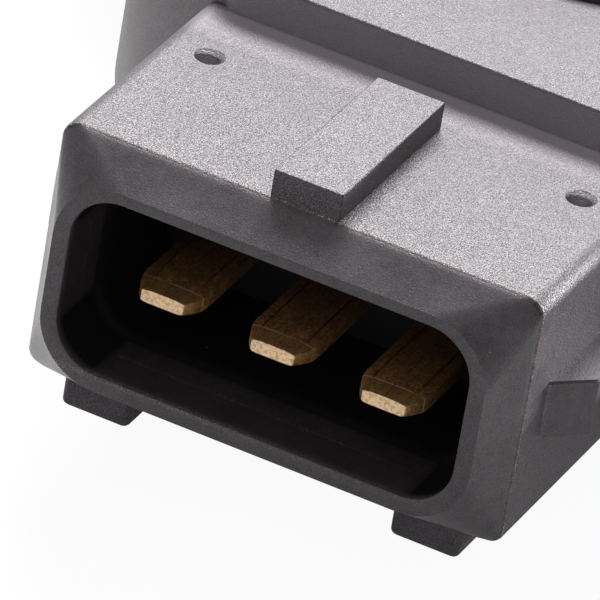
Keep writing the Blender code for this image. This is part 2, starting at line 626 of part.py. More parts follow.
def build_rotor(datum, pivot):
    """The rotor turns on the housing's bore. It carries the wiper, the clip and the washer."""
    resin = make_material("rotor_resin", (0.07, 0.07, 0.075), 0.45, 0.0)
    spring = make_material("spring_bronze", (0.62, 0.45, 0.26), 0.3, 1.0)
    steel = make_material("spring_steel", (0.5, 0.5, 0.52), 0.3, 1.0)
    rotor = place("rotor", revolve("rotor", [
        (HUB_RADIUS - SMALL_ROUND, HUB_BOTTOM), (HUB_RADIUS, HUB_BOTTOM + SMALL_ROUND), (HUB_RADIUS, FLANGE_BOTTOM),
        (FLANGE_RADIUS, FLANGE_BOTTOM), (FLANGE_RADIUS, FLANGE_TOP), (ROTOR_BOSS_RADIUS, FLANGE_TOP),
        (ROTOR_BOSS_RADIUS, ROTOR_TOP), (ROTOR_PIN_RADIUS, ROTOR_TOP), (ROTOR_PIN_RADIUS, ROTOR_PIN_TOP)],
        ROUND_STEPS, capped=True), resin, pivot)
    lug = sector_outline(FLANGE_RADIUS - STOP_REACH, FLANGE_RADIUS + STOP_REACH,
                         REST_DEG - STOP_WIDTH_DEG / 2, REST_DEG + STOP_WIDTH_DEG / 2, 4)
    combine(rotor, prism("stop_lug_guide", lug, FLANGE_BOTTOM, FLANGE_TOP), "UNION", pivot)
    combine(rotor, socket_shape(), "DIFFERENCE", pivot)
    back = SOCKET_FLAT + CLIP_THICKNESS + 2 * SEAT_GAP
    half = CLIP_WIDTH / 2 + SEAT_GAP
    groove = box_outline(-half, half, SOCKET_FLAT / 2, back)
    groove_top = HUB_BOTTOM + CLIP_LENGTH + 2 * SEAT_GAP
    combine(rotor, prism("clip_groove_guide", groove, HUB_BOTTOM - OVERSHOOT, groove_top), "DIFFERENCE", pivot)

    low = HUB_BOTTOM + SEAT_GAP
    sections = []
    for i in range(13):
        share = i / 12
        bow = 2 * SEAT_GAP * math.sin(math.pi * share)
        y = back - SEAT_GAP - CLIP_THICKNESS - bow
        z = low + CLIP_LENGTH * share
        sections.append([Vector((x, y + dy, z)) for x, dy in (
            (-CLIP_WIDTH / 2, 0), (CLIP_WIDTH / 2, 0), (CLIP_WIDTH / 2, CLIP_THICKNESS),
            (-CLIP_WIDTH / 2, CLIP_THICKNESS))])
    place("drive_clip", loft("drive_clip", sections), steel, pivot)

    middle = ROTOR_TOP + SEAT_GAP + WAVE_HEIGHT / 2
    place("wave_washer", wave_washer_mesh(middle), steel, pivot)

    ring_inner = ROTOR_BOSS_RADIUS + SEAT_GAP
    ring_outer = COLLECTOR_RADIUS - TRACK_WIDTH / 2
    wiper_top = WIPER_BOTTOM + WIPER_THICKNESS
    wiper = place("wiper_bridge", revolve("wiper_bridge", [
        (ring_inner, WIPER_BOTTOM), (ring_outer, WIPER_BOTTOM), (ring_outer, wiper_top),
        (ring_inner, wiper_top)], RING_STEPS), spring, pivot)
    arm_width = STOP_WIDTH_DEG
    arm = sector_outline((ring_inner + ring_outer) / 2, RESISTIVE_RADIUS + TRACK_WIDTH / 2,
                         REST_DEG - arm_width, REST_DEG, 4)
    combine(wiper, prism("wiper_arm_guide", arm, WIPER_BOTTOM, wiper_top), "UNION", pivot)
    for radius in (RESISTIVE_RADIUS, COLLECTOR_RADIUS):
        for offset in (-FINGER_SPREAD / 2, FINGER_SPREAD / 2):
            name = "finger_guide_%d" % round((radius + offset) * 1e6)
            combine(wiper, finger_mesh(name, radius + offset), "UNION", pivot)


def wave_washer_mesh(middle):
    """A flat spring ring with three waves."""
    inner, outer = ROTOR_PIN_RADIUS + SEAT_GAP, ROTOR_BOSS_RADIUS - RUNNING_GAP
    swing = (WAVE_HEIGHT - WAVE_THICKNESS) / 2
    mesh = bmesh.new()
    rings = []
    for i in range(48):
        turn = 360.0 * i / 48
        height = middle + swing * math.cos(math.radians(3 * turn))
        rings.append([mesh.verts.new(polar(radius, turn, height + up * WAVE_THICKNESS / 2))
                      for radius, up in ((inner, -1), (outer, -1), (outer, 1), (inner, 1))])
    for i in range(len(rings)):
        for j in range(4):
            mesh.faces.new((rings[i - 1][j - 1], rings[i - 1][j], rings[i][j], rings[i][j - 1]))
    return finish_mesh(mesh, "wave_washer")


def finger_mesh(name, radius):
    """A contact finger that leaves the arm, climbs along its track and dips at its tip."""
    low, high = WIPER_BOTTOM, FINGER_TOP - WIPER_THICKNESS
    sections = []
    for i in range(11):
        share = i / 10
        turn = REST_DEG - STOP_WIDTH_DEG / 4 + 38.0 * share
        climb = math.sin(math.pi / 2 * min(share / 0.85, 1.0)) - max(share - 0.85, 0.0)
        z = low + (high - low) * climb
        sections.append([polar(radius + across, turn, z + up) for across, up in (
            (-FINGER_WIDTH / 2, 0), (FINGER_WIDTH / 2, 0), (FINGER_WIDTH / 2, WIPER_THICKNESS),
            (-FINGER_WIDTH / 2, WIPER_THICKNESS))])
    return loft(name, sections)


def build_cover(datum):
    """The round cover, its locating skirt and boss, and the seal under its edge."""
    plastic = make_material("cover_plastic", (0.085, 0.08, 0.085), 0.5, 0.0)
    rubber = make_material("seal_rubber", (0.03, 0.03, 0.032), 0.7, 0.0)
    boss = ROTOR_BOSS_RADIUS - RUNNING_GAP / 2
    recess = ROTOR_PIN_RADIUS + SEAT_GAP
    cover = place("cover", revolve("cover", [
        (recess, ROTOR_PIN_TOP + SEAT_GAP), (recess, COVER_BOSS_BOTTOM),
        (boss, COVER_BOSS_BOTTOM), (boss, COVER_BOTTOM), (COVER_RADIUS, COVER_BOTTOM),
        (COVER_RADIUS, COVER_TOP - COVER_EDGE),
        (COVER_RADIUS - COVER_EDGE * 0.3, COVER_TOP - COVER_EDGE * 0.3),
        (COVER_RADIUS - COVER_EDGE, COVER_TOP)], ROUND_STEPS, capped=True), plastic, datum)
    outer = CAVITY_RADIUS - SEAT_GAP
    reach = 90 - TRACK_GAP_DEG * 0.7
    skirt = sector_outline(outer - SKIRT_WALL, outer, -reach, 180 + reach, RING_STEPS)
    skirt_low = BOARD_TOP + SEAT_GAP
    combine(cover, prism("skirt_guide", skirt, skirt_low, COVER_BOTTOM + COVER_THICKNESS / 2), "UNION", datum)
    seal_inner, seal_outer = CAVITY_RADIUS, COVER_RADIUS
    place("cover_seal", revolve("cover_seal", [
        (seal_inner, COVER_SEAL_BOTTOM), (seal_outer, COVER_SEAL_BOTTOM),
        (seal_outer, COVER_BOTTOM - SEAT_GAP), (seal_inner, COVER_BOTTOM - SEAT_GAP)],
        RING_STEPS), rubber, datum)


def build_seals_and_bushes(datum):
    rubber = make_material("ring_rubber", (0.025, 0.025, 0.027), 0.6, 0.0)
    nylon = make_material("washer_nylon", (0.75, 0.73, 0.68), 0.5, 0.0)
    steel = make_material("bush_steel", (0.6, 0.6, 0.6), 0.35, 1.0)

    middle = RING_INNER_RADIUS + RING_SECTION / 2
    profile = []
    for i in range(12):
        angle = math.radians(30 * i)
        profile.append((middle + RING_SECTION / 2 * math.cos(angle),
                        RING_SECTION / 2 * math.sin(angle) - SPIGOT_LENGTH / 2))
    place("o_ring", revolve("o_ring", profile, RING_STEPS + 8), rubber, datum)

    seat = WELL_FLOOR - SEAL_SEAT_DEPTH
    inner, outer = BORE_RADIUS, SEAL_SEAT_RADIUS - SEAT_GAP
    low, high = seat + SEAT_GAP, WELL_FLOOR - SEAT_GAP / 2
    edge = (outer - inner) / 4
    place("rotor_seal", revolve("rotor_seal", [
        (inner, low + edge), (inner + edge, low), (outer - edge, low), (outer, low + edge),
        (outer, high - edge), (outer - edge, high), (inner + edge, high), (inner, high - edge)],
        RING_STEPS), rubber, datum)

    inner, outer = BORE_RADIUS, FLANGE_RADIUS
    high = THRUST_BOTTOM + THRUST_THICKNESS
    place("thrust_washer", revolve("thrust_washer", [
        (inner, THRUST_BOTTOM), (outer, THRUST_BOTTOM), (outer, high), (inner, high)],
        RING_STEPS), nylon, datum)

    inner, outer = BUSH_BORE_RADIUS, BUSH_BORE_RADIUS + BUSH_WALL
    edge = SMALL_ROUND
    profile = [(inner + edge, 0.0), (outer - edge, 0.0), (outer, edge), (outer, EAR_THICKNESS - edge),
               (outer - edge, EAR_THICKNESS), (inner + edge, EAR_THICKNESS),
               (inner, EAR_THICKNESS - edge), (inner, edge)]
    for side, name in ((-1, "ear_bush_left"), (1, "ear_bush_right")):
        bush = place(name, revolve(name, profile, FINE_STEPS + 8), steel, datum)
        bush.location = ear_centre(side)


def build_sensor():
    clear_scene()
    datum = bpy.data.objects.new("mounting_plane", None)
    bpy.context.scene.collection.objects.link(datum)
    datum.location = (0, 0, -COVER_TOP)
    pivot = bpy.data.objects.new("rotor_axis", None)
    bpy.context.scene.collection.objects.link(pivot)
    pivot.parent = datum
    build_housing(datum)
    build_terminals(datum)
    build_board(datum)
    build_rotor(datum, pivot)
    build_cover(datum)
    build_seals_and_bushes(datum)


build_sensor()
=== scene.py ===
"""Looks of the throttle position sensor: finished surfaces, studio and camera.

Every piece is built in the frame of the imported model. Depths count back from the rim of the
plug's mouth, and heights count up from the mounting plane. Lengths are in metres.
"""

import json
import math

import bmesh
import bpy
from mathutils import Matrix, Vector, noise


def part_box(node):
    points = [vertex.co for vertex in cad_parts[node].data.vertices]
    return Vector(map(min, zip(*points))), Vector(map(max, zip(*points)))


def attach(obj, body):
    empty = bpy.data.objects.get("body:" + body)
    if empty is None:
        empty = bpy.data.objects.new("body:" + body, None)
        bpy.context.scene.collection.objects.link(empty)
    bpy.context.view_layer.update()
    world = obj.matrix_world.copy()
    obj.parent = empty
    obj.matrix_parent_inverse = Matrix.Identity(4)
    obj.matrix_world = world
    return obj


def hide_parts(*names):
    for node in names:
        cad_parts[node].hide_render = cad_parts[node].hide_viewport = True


# Camera, fitted to the photograph
PHOTO_PIXELS = 600
SENSOR_WIDTH = 36.0
AZIMUTH_DEG = 21.532
ELEVATION_DEG = 31.202
ROLL_DEG = 9.851
DISTANCE = 0.374
PIXELS_PER_METRE = 26321.0
TARGET_PIXEL = (260.464, 351.59)

# Plug shroud
MOUTH_HALF = 0.00854
MOUTH_DEPTH = 0.009
MOUTH_FLOOR = 0.00166
MOUTH_ROOF = 0.0093
MOUTH_CORNER = 0.002
LIP_ROUND = 0.00007
STEP_DEPTH = 0.0029
STEP_INSET = 0.0002
LIP_END = 0.0008
RIM_WIDTH = 0.0007
RIM_WIDTH_ABOVE = 0.0005
NOSE_LENGTH = 0.00193
SHROUD_HALF = 0.0103
SHROUD_HEIGHT = 0.01094
TOP_EDGE = 0.00075
BOTTOM_EDGE = 0.00056
CREASE_ROUND = 0.00012
SHROUD_END = 0.0165

# Key rib, lugs, feet and dimples
RIB_HALF = 0.00148
RIB_HEIGHT = 0.00118
RIB_END = 0.01094
LUG_PROUD = 0.00146
LUG_LOW = 0.00388
LUG_HIGH = 0.00644
LUG_START = 0.00384
LUG_END = 0.00934
FOOT_INNER = 0.00569
FOOT_OUTER = 0.00864
FOOT_DROP = 0.0014
FOOT_LENGTH = 0.009
FOOT_LEAD = 0.00003
FOOT_CORNER = 0.0003
FOOT_SOLE_ROUND = 0.00025
DIMPLE_RADIUS = 0.00063
BOWL_DEPTH = 0.00016
DIMPLE_OFFSET = 0.00805
DIMPLE_SETBACK = 0.00981
CRISP_ROUND = 0.00009

# Body, ears and spigot
STEP_SETBACK = 0.01355
BODY_RADIUS = 0.01885
BODY_HEIGHT = 0.01262
FLAT_CORNER = 0.0018
BODY_TOP_EDGE = 0.00015
BODY_BOTTOM_EDGE = 0.0013
EAR_ANGLE_DEG = -30.0
EAR_OFFSET = 0.025
EAR_END_RADIUS = 0.0065
EAR_FILLET = 0.0025
EAR_THICKNESS = 0.006
EAR_EDGE = 0.0004
BUSH_BORE = 0.00215
BUSH_OUTER = 0.00325
END_CHAMFER = 0.0002
SPIGOT_RADIUS = 0.009
SPIGOT_LENGTH = 0.0042
GROOVE_RADIUS = 0.007025
GROOVE_WIDTH = 0.0026
RING_MIDDLE = 0.008325
RING_SECTION = 0.001
POCKET_INNER = 0.01025
POCKET_OUTER = 0.01725
POCKET_ROOF = 0.01052
POCKET_COUNT = 8
POCKET_SPAN_DEG = 256.0
POCKET_RIB = 0.0014
POCKET_OUTER_STEPS = 16
POCKET_INNER_STEPS = 6
POCKET_CORNER = 0.0004
POCKET_ROOF_ROUND = 0.0003

# Bores of the body, from the hub outwards and upwards
SEAT_GAP = 0.0003
BORE_RADIUS = 0.0053
SEAL_SEAT_RADIUS = 0.0061
SEAL_SEAT_LOW = 0.00401
WELL_RADIUS = 0.0081
WELL_FLOOR = 0.00561
LEDGE_HEIGHT = 0.00947
CAVITY_RADIUS = 0.0087
RECESS_FLOOR = 0.01087
RECESS_RADIUS = 0.00945

# Cover
DISC_THICKNESS = 0.0016
SKIRT_TOP = 0.0008
SKIRT_WALL = 0.0008
SKIRT_START_DEG = -48
SKIRT_END_DEG = 228

# Rotor
HUB_RADIUS = 0.0051
FLANGE_RADIUS = 0.0066
FLANGE_LOW = 0.00661
FLANGE_HIGH = 0.00781
BOSS_RADIUS = 0.0028
BOSS_TOP = 0.00901
PIN_RADIUS = 0.0009
PIN_TOP = 0.01061
SOCKET_RADIUS = 0.0041
SOCKET_FLAT = 0.0031
SOCKET_DEPTH = 0.0084
SOCKET_ROUND = 0.0004
CLIP_HALF = 0.0018
CLIP_BACK = 0.00395
CLIP_TOP = 0.0071
STOP_REACH = 0.0011
STOP_HALF_DEG = 8.0
REST_DEG = 42.5

# Blades
BLADE_HALF = 0.0014
BLADE_THICK_HALF = 0.0004
BLADE_PITCH = 0.005
BLADE_TAPER = 0.0014
BLADE_CREASE = 0.00085
BLADE_HEIGHT = 0.00487
BLADE_TIP_WIDTH = 0.64
BLADE_TIP_THICK = 0.70
COINED_DEPTH = 0.3
COINED_RUN = 0.0003
TAIL_HALF = 0.0006
TAIL_PITCH = 0.0026
TAIL_BEND = 0.001
RISER_OFFSET = 0.0073
PIN_HALF = 0.00035
BOARD_PIN_TOP = 0.01127

# Uneven blade surface: how often it swells per metre, and by how much. The points at the two sides
# of a section also swell sideways, and the sheared end swells less.
SWELLS = ((4200, 0.000012), (12000, 0.000006))
SIDE_POINTS = (0, 1, 14, 15, 22)
SHEARED_SWELL = 0.4

# Mesh detail, how far a cutting tool stands out of what it cuts, and what counts as an upright
# edge, as a sharp one and as the same height
ARC_STEPS = 12
SIDE_STEPS = 60
SPAN_STEPS = 120
TURN_STEPS = 180
BLADE_STEPS = 96
OVERSHOOT = 0.001
UPRIGHT_RISE = 0.0001
SHARP_DEG = 30
SAME_HEIGHT = 0.000001

# Plastic of the housing and cover. Noise is sampled on turned axes, because it is weak on planes
# that lie along its own.
SKEW = (0.6, 0.4, 0.3)
GRAIN_SCALE = 15000.0
GRAIN_DEPTH = 0.00003
SPARKLE_SCALE = 19000.0
SPARKLE = 0.45
TOP_ROUGHNESS = 0.44
NOSE_ROUGHNESS = 0.37
TOP_SPECULAR = 0.7
NOSE_SPECULAR = 0.56
PLASTIC = (0.0495, 0.0435, 0.0485)
GLOSS_TINT = (1.0, 0.94, 0.985)
# Painted shade: the black laid into the mouth, the dimples and the line before the nose's crease
PAINTED_SHADE_BLACK = (0.008, 0.0075, 0.008)
DUST = (0.42, 0.33, 0.24)
WORN_LIP = (0.30, 0.25, 0.20)
CREASE_BROWN = (0.16, 0.10, 0.08)
# Painted light: the grey laid over the step's cast shadow on the shroud's top
STEP_PAINTED_LIGHT = (0.33, 0.297, 0.322)

# Metal
BRASS = (0.95, 0.48, 0.19)
BRASS_DARK = (0.12, 0.06, 0.022)
BRASS_GREEN = (0.30, 0.20, 0.07)
BRASS_BRIGHT = (0.95, 0.70, 0.44)
BRASS_PIT = (0.62, 0.42, 0.23)
BUSH_STEEL = (0.55, 0.55, 0.56)

# Plain finishes: colour, roughness, metallic, grain scale, grain depth. KEPT_FINISH has those of
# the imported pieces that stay.
SEAL_RUBBER = ((0.03, 0.03, 0.032), 0.6, 0.0, 9000.0, 0.00001)
RING_RUBBER = ((0.022, 0.022, 0.024), 0.5, 0.0, 8000.0, 0.000006)
ROTOR_RESIN = ((0.05, 0.05, 0.053), 0.4, 0.0, 9000.0, 0.000006)
SOLDER = ((0.62, 0.62, 0.64), 0.3, 1.0, 5000.0, 0.000004)
SPRING_STEEL = ((0.5, 0.5, 0.52), 0.3, 1.0, 7000.0, 0.000004)
KEPT_FINISH = {
    "cover_seal": SEAL_RUBBER,
    "rotor_seal": SEAL_RUBBER,
    "track_board": ((0.32, 0.24, 0.12), 0.5, 0.0, 5000.0, 0.000006),
    "resistive_track": ((0.02, 0.02, 0.022), 0.45, 0.0, 9000.0, 0.000004),
    "collector_track": ((0.6, 0.58, 0.55), 0.35, 1.0, 9000.0, 0.000004),
    "solder_supply": SOLDER,
    "solder_signal": SOLDER,
    "solder_ground": SOLDER,
    "wiper_bridge": ((0.62, 0.45, 0.26), 0.3, 1.0, 7000.0, 0.000004),
    "drive_clip": SPRING_STEEL,
    "wave_washer": SPRING_STEEL,
    "thrust_washer": ((0.75, 0.73, 0.68), 0.5, 0.0, 9000.0, 0.000006),
}

# Floor: how strongly it glows to the camera, and what glossy surfaces see of it in front of the
# plug, beside it to the left and beside it to the right
FLOOR_SIZE = 6.0
FLOOR_GAP = 0.00002
FLOOR_GREY = (0.4, 0.4, 0.4, 1.0)
FLOOR_GLOW = 0.85
SEEN_STRENGTH = 1.1
MIRROR_STRENGTH = 1.5
MIRROR_FRONT = 0.15
MIRROR_LEFT = 0.95
MIRROR_RIGHT = 0.3

# World: its light, the dark screen's direction, and each glint's direction and light
WORLD_LIGHT = 0.6
SCREEN_DIRECTION = (0.79, -0.11, 0.58)
SCREEN_SHARE = 0.1
GLINTS = (((-0.61, 0.79, 0.0), 1.4), ((0.25, 0.79, 0.56), 2.2))

# Lamps: place, target, width, height, power, and whether glossy surfaces mirror them
LAMPS = {
    "back_light": ((-0.11, 0.32, 0.4), (0, -0.02, 0), 0.35, 0.22, 5.5, True),
    "right_light": ((0.285, 0.455, 0.02), (0, -0.02, -0.005), 0.15, 0.04, 2.6, True),
    "right_fill": ((0.285, 0.455, 0.02), (0, -0.02, -0.005), 0.15, 0.04, 6.2, False),
}


def add_camera(target):
    """Puts the camera where the photograph was taken from, with target at its own pixel."""
    azimuth, elevation = math.radians(AZIMUTH_DEG), math.radians(ELEVATION_DEG)
    back = Vector((math.sin(azimuth) * math.cos(elevation), -math.cos(azimuth) * math.cos(elevation),
                   math.sin(elevation)))
    right = Vector((math.cos(azimuth), math.sin(azimuth), 0))
    up = back.cross(right)
    turn = Matrix.Rotation(math.radians(ROLL_DEG), 3, back)
    right, up = turn @ right, turn @ up
    data = bpy.data.cameras.new("camera")
    data.sensor_width = SENSOR_WIDTH
    data.lens = PIXELS_PER_METRE * DISTANCE * SENSOR_WIDTH / PHOTO_PIXELS
    centre = PHOTO_PIXELS / 2
    data.shift_x = (centre - TARGET_PIXEL[0]) / PHOTO_PIXELS
    data.shift_y = (TARGET_PIXEL[1] - centre) / PHOTO_PIXELS
    camera = bpy.data.objects.new("camera", data)
    bpy.context.scene.collection.objects.link(camera)
    axes = Matrix((right, up, back)).transposed().to_4x4()
    camera.matrix_world = Matrix.Translation(target + back * DISTANCE) @ axes
    bpy.context.scene.camera = camera


def at(x, depth, height):
    """A point by its depth behind the rim and its height above the mounting plane."""
    return Vector((x, RIM_Y + depth, MOUNTING + height))


def finish_mesh(mesh, name):
    """Turns all faces outwards and gives the mesh as data."""
    bmesh.ops.recalc_face_normals(mesh, faces=mesh.faces)
    data = bpy.data.meshes.new(name)
    mesh.to_mesh(data)
    mesh.free()
    return data


def loft(name, sections):
    """A solid through loops of equally many points, closed by its first and last loop."""
    mesh = bmesh.new()
    rings = [[mesh.verts.new(point) for point in section] for section in sections]
    for first, second in zip(rings, rings[1:]):
        for i in range(len(first)):
            mesh.faces.new((first[i - 1], first[i], second[i], second[i - 1]))
    mesh.faces.new(rings[0])
    mesh.faces.new(rings[-1])
    return finish_mesh(mesh, name)


def revolve(name, profile, steps=TURN_STEPS, capped=False, centre=Vector((0, 0, 0))):
    """A solid turned about an upright axis from (radius, height) points."""
    sections = []
    mesh = bmesh.new()
    for radius, height in profile:
        sections.append([mesh.verts.new(centre + Vector((
            radius * math.cos(math.tau * i / steps), radius * math.sin(math.tau * i / steps),
            MOUNTING + height))) for i in range(steps)])
    pairs = list(zip(sections, sections[1:]))
    if capped:
        mesh.faces.new(sections[0])
        mesh.faces.new(sections[-1])
    else:
        pairs.append((sections[-1], sections[0]))
    for first, second in pairs:
        for i in range(steps):
            mesh.faces.new((first[i - 1], first[i], second[i], second[i - 1]))
    return finish_mesh(mesh, name)


def prism(name, outline, low, high, low_round=0.0, high_round=0.0, side_round=0.0):
    """An upright solid on an outline of (x, y) points, with its edges rounded as asked.

    Of the upright edges only sharp ones get side_round. It has to be more than the rounds above
    and below, and less than the outline's steps beside a corner, or the solid crosses itself.
    """
    mesh = bmesh.new()
    base = [mesh.verts.new((x, y, MOUNTING + low)) for x, y in outline]
    roof = [mesh.verts.new((x, y, MOUNTING + high)) for x, y in outline]
    for i in range(len(base)):
        mesh.faces.new((base[i - 1], base[i], roof[i], roof[i - 1]))
    mesh.faces.new(base)
    mesh.faces.new(roof)
    bmesh.ops.recalc_face_normals(mesh, faces=mesh.faces)
    if side_round:
        upright = [e for e in mesh.edges
                   if abs(e.verts[0].co.z - e.verts[1].co.z) > UPRIGHT_RISE
                   and e.calc_face_angle() > math.radians(SHARP_DEG)]
        bmesh.ops.bevel(mesh, geom=upright, offset=side_round, segments=4, affect="EDGES", profile=0.5)
    for height, amount in ((low, low_round), (high, high_round)):
        if amount:
            rim = [e for e in mesh.edges
                   if all(abs(v.co.z - MOUNTING - height) < SAME_HEIGHT for v in e.verts)]
            bmesh.ops.bevel(mesh, geom=rim, offset=amount, segments=5, affect="EDGES", profile=0.5)
    return finish_mesh(mesh, name)


def merged(name, parts):
    """Several meshes that don't touch, as one."""
    mesh = bmesh.new()
    for part in parts:
        mesh.from_mesh(part)
    return finish_mesh(mesh, name)


def box(x_low, x_high, depth_low, depth_high):
    """A rectangular outline."""
    return [(x_low, RIM_Y + depth_low), (x_high, RIM_Y + depth_low), (x_high, RIM_Y + depth_high),
            (x_low, RIM_Y + depth_high)]


def arc(x, y, radius, start, end, steps):
    """Points of a level arc, from one angle to the other, in degrees."""
    angles = [math.radians(start + (end - start) * i / steps) for i in range(steps + 1)]
    return [(x + radius * math.cos(a), y + radius * math.sin(a)) for a in angles]


def combine(target, tools, operation):
    """Joins mesh data to an object's mesh or cuts it away, for good."""
    for tool in tools:
        helper = bpy.data.objects.new(tool.name, tool)
        bpy.context.scene.collection.objects.link(helper)
        modifier = target.modifiers.new(tool.name, "BOOLEAN")
        modifier.operation = operation
        modifier.object = helper
        depsgraph = bpy.context.evaluated_depsgraph_get()
        data = bpy.data.meshes.new_from_object(target.evaluated_get(depsgraph))
        target.modifiers.clear()
        old = target.data
        target.data = data
        bpy.data.meshes.remove(old)
        bpy.data.objects.remove(helper, do_unlink=True)


def smooth(item, angle_deg=35.0):
    """Smooth shading that keeps flat faces flat and sharp corners sharp."""
    item.data.shade_smooth()
    item.data.set_sharp_from_angle(angle=math.radians(angle_deg))
    weighted = item.modifiers.new("weighted_normals", "WEIGHTED_NORMAL")
    weighted.keep_sharp = True


def piece(name, data, material, body, slot, *nodes):
    """A shown piece that rides on a body and stands for the nodes it is given."""
    item = bpy.data.objects.new(name, data)
    bpy.context.scene.collection.objects.link(item)
    item.data.materials.clear()
    item.data.materials.append(material)
    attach(item, body)
    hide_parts(*nodes)
    return item


def ring(half, low, high, low_round, high_round, depth):
    """A dense rounded upright rectangle, from its lower right corner round."""
    corners = ((1, low + low_round, low_round, -90), (1, high - high_round, high_round, 0),
               (-1, high - high_round, high_round, 90), (-1, low + low_round, low_round, 180))
    corner_points = []
    for side, middle, radius, start in corners:
        points = []
        for i in range(ARC_STEPS + 1):
            angle = math.radians(start + 90.0 * i / ARC_STEPS)
            across = side * (half - radius) + radius * math.cos(angle)
            points.append(at(across, depth, middle + radius * math.sin(angle)))
        corner_points.append(points)
    loop = []
    for i, points in enumerate(corner_points):
        loop += points
        following = corner_points[(i + 1) % 4][0]
        steps = SPAN_STEPS if i % 2 else SIDE_STEPS
        loop += [points[-1].lerp(following, j / steps) for j in range(1, steps)]
    return loop


def shroud_mesh():
    """The shroud in one skin: outer walls, bevelled nose, rim, lip, and the mouth to its back."""
    rim_half = MOUTH_HALF + RIM_WIDTH
    rim_low, rim_high = MOUTH_FLOOR - RIM_WIDTH, MOUTH_ROOF + RIM_WIDTH_ABOVE
    rim_corner = MOUTH_CORNER + RIM_WIDTH

    def nose(share, depth):
        """A loop part of the way from the rim to the outer walls."""
        def between(a, b):
            return a + (b - a) * share
        return ring(between(rim_half, SHROUD_HALF), between(rim_low, 0), between(rim_high, SHROUD_HEIGHT),
                    between(rim_corner, BOTTOM_EDGE), between(rim_corner, TOP_EDGE), depth)

    def mouth(grow, step, depth):
        """A loop of the mouth, wider by grow, and narrower by step at its sides and floor."""
        return ring(MOUTH_HALF + grow - step, MOUTH_FLOOR - grow + step, MOUTH_ROOF + grow,
                    MOUTH_CORNER, MOUTH_CORNER, depth)

    # Outer walls from their back end to the crease, then the bevelled nose
    loops = [nose(1, depth) for depth in (SHROUD_END, 0.006, 0.003, NOSE_LENGTH + CREASE_ROUND)]
    loops.append(nose(0.99, NOSE_LENGTH))
    for i in range(1, 9):
        share = 1 - i / 9
        loops.append(nose(0.03 + 0.94 * share, NOSE_LENGTH * (0.02 + 0.93 * share ** 0.92)))

    # The rim and the rounded lip of the mouth
    loops += [nose(0.0, 0.0), nose(-0.12, -0.00001)]
    for i in range(5):
        angle = math.radians(22.5 * i)
        loops.append(mouth(LIP_ROUND * (1 - math.sin(angle)), 0, LIP_ROUND * (1 - math.cos(angle))))

    # The mouth's walls, with the soft step that narrows its sides and floor
    loops += [mouth(0, 0, LIP_END), mouth(0, 0, STEP_DEPTH)]
    for i in range(1, 7):
        swing = (1 - math.cos(math.pi * i / 6)) / 2
        loops.append(mouth(0, STEP_INSET * swing, STEP_DEPTH + 4 * STEP_INSET * i / 6))
    loops += [mouth(0, STEP_INSET, 0.006), mouth(0, STEP_INSET, MOUTH_DEPTH)]
    return loft("shroud", loops)


def body_outline():
    """The round body, cut flat towards the plug, with the flat's corners rounded."""
    flat = RIM_Y + STEP_SETBACK
    centre_y = flat + FLAT_CORNER
    centre_x = math.sqrt((BODY_RADIUS - FLAT_CORNER) ** 2 - centre_y ** 2)
    turn = math.degrees(math.atan2(centre_y, centre_x))
    outline = arc(0, 0, BODY_RADIUS, turn, 180 - turn, TURN_STEPS)
    outline += arc(-centre_x, centre_y, FLAT_CORNER, 180 - turn, 270, ARC_STEPS)[1:]
    outline += arc(centre_x, centre_y, FLAT_CORNER, -90, turn, ARC_STEPS)[:-1]
    return outline


def ear_outline(turn_deg):
    """An ear with a round end and filleted roots, turned to its place."""
    root_y = EAR_END_RADIUS + EAR_FILLET
    root_x = math.sqrt((BODY_RADIUS + EAR_FILLET) ** 2 - root_y ** 2)
    lean = math.degrees(math.atan2(root_y, root_x))
    side = arc(root_x, root_y, EAR_FILLET, 270, 180 + lean, ARC_STEPS)
    outline = arc(EAR_OFFSET, 0, EAR_END_RADIUS, -90, 90, 48) + side
    outline += [(BODY_RADIUS / 2, side[-1][1]), (BODY_RADIUS / 2, -side[-1][1])]
    outline += [(x, -y) for x, y in reversed(side)]
    turn = math.radians(turn_deg)
    return [(x * math.cos(turn) - y * math.sin(turn), x * math.sin(turn) + y * math.cos(turn))
            for x, y in outline]


def ear_centre(side):
    """The middle of an ear's hole, with side -1 for the left ear and 1 for the right one."""
    turn = math.radians(EAR_ANGLE_DEG)
    return Vector((side * EAR_OFFSET * math.cos(turn), side * EAR_OFFSET * math.sin(turn), 0))


def lug_mesh(side):
    """A latch lug: a ramp towards the plug, a flat and a square back."""
    sections = []
    edge = CRISP_ROUND
    wall = SHROUD_HALF - edge
    ramp_end = LUG_START + LUG_PROUD
    for depth, share in ((LUG_START - 0.0001, -0.05), (LUG_START + LUG_PROUD * 0.3, 0.3),
                         (LUG_START + LUG_PROUD * 0.6, 0.6), (ramp_end - edge, 0.95),
                         (ramp_end + edge / 2, 1.0), (LUG_END - edge, 1.0), (LUG_END, 0.95)):
        out = SHROUD_HALF + LUG_PROUD * share
        points = [(wall - edge, LUG_LOW), (out - edge, LUG_LOW), (out, LUG_LOW + edge),
                  (out, LUG_HIGH - edge), (out - edge, LUG_HIGH), (wall - edge, LUG_HIGH)]
        sections.append([at(side * x, depth, height) for x, height in points])
    return loft("lug", sections)


def dimple_mesh(side):
    """A shallow round bowl."""
    curve = (DIMPLE_RADIUS ** 2 + BOWL_DEPTH ** 2) / (2 * BOWL_DEPTH)
    profile = []
    for i in range(1, ARC_STEPS + 1):
        radius = DIMPLE_RADIUS * i / ARC_STEPS
        profile.append((radius, SHROUD_HEIGHT - BOWL_DEPTH + curve - math.sqrt(curve ** 2 - radius ** 2)))
    profile.append((DIMPLE_RADIUS * 1.02, SHROUD_HEIGHT + OVERSHOOT))
    centre = Vector((side * DIMPLE_OFFSET, RIM_Y + DIMPLE_SETBACK, 0))
    return revolve("dimple", profile, 48, capped=True, centre=centre)


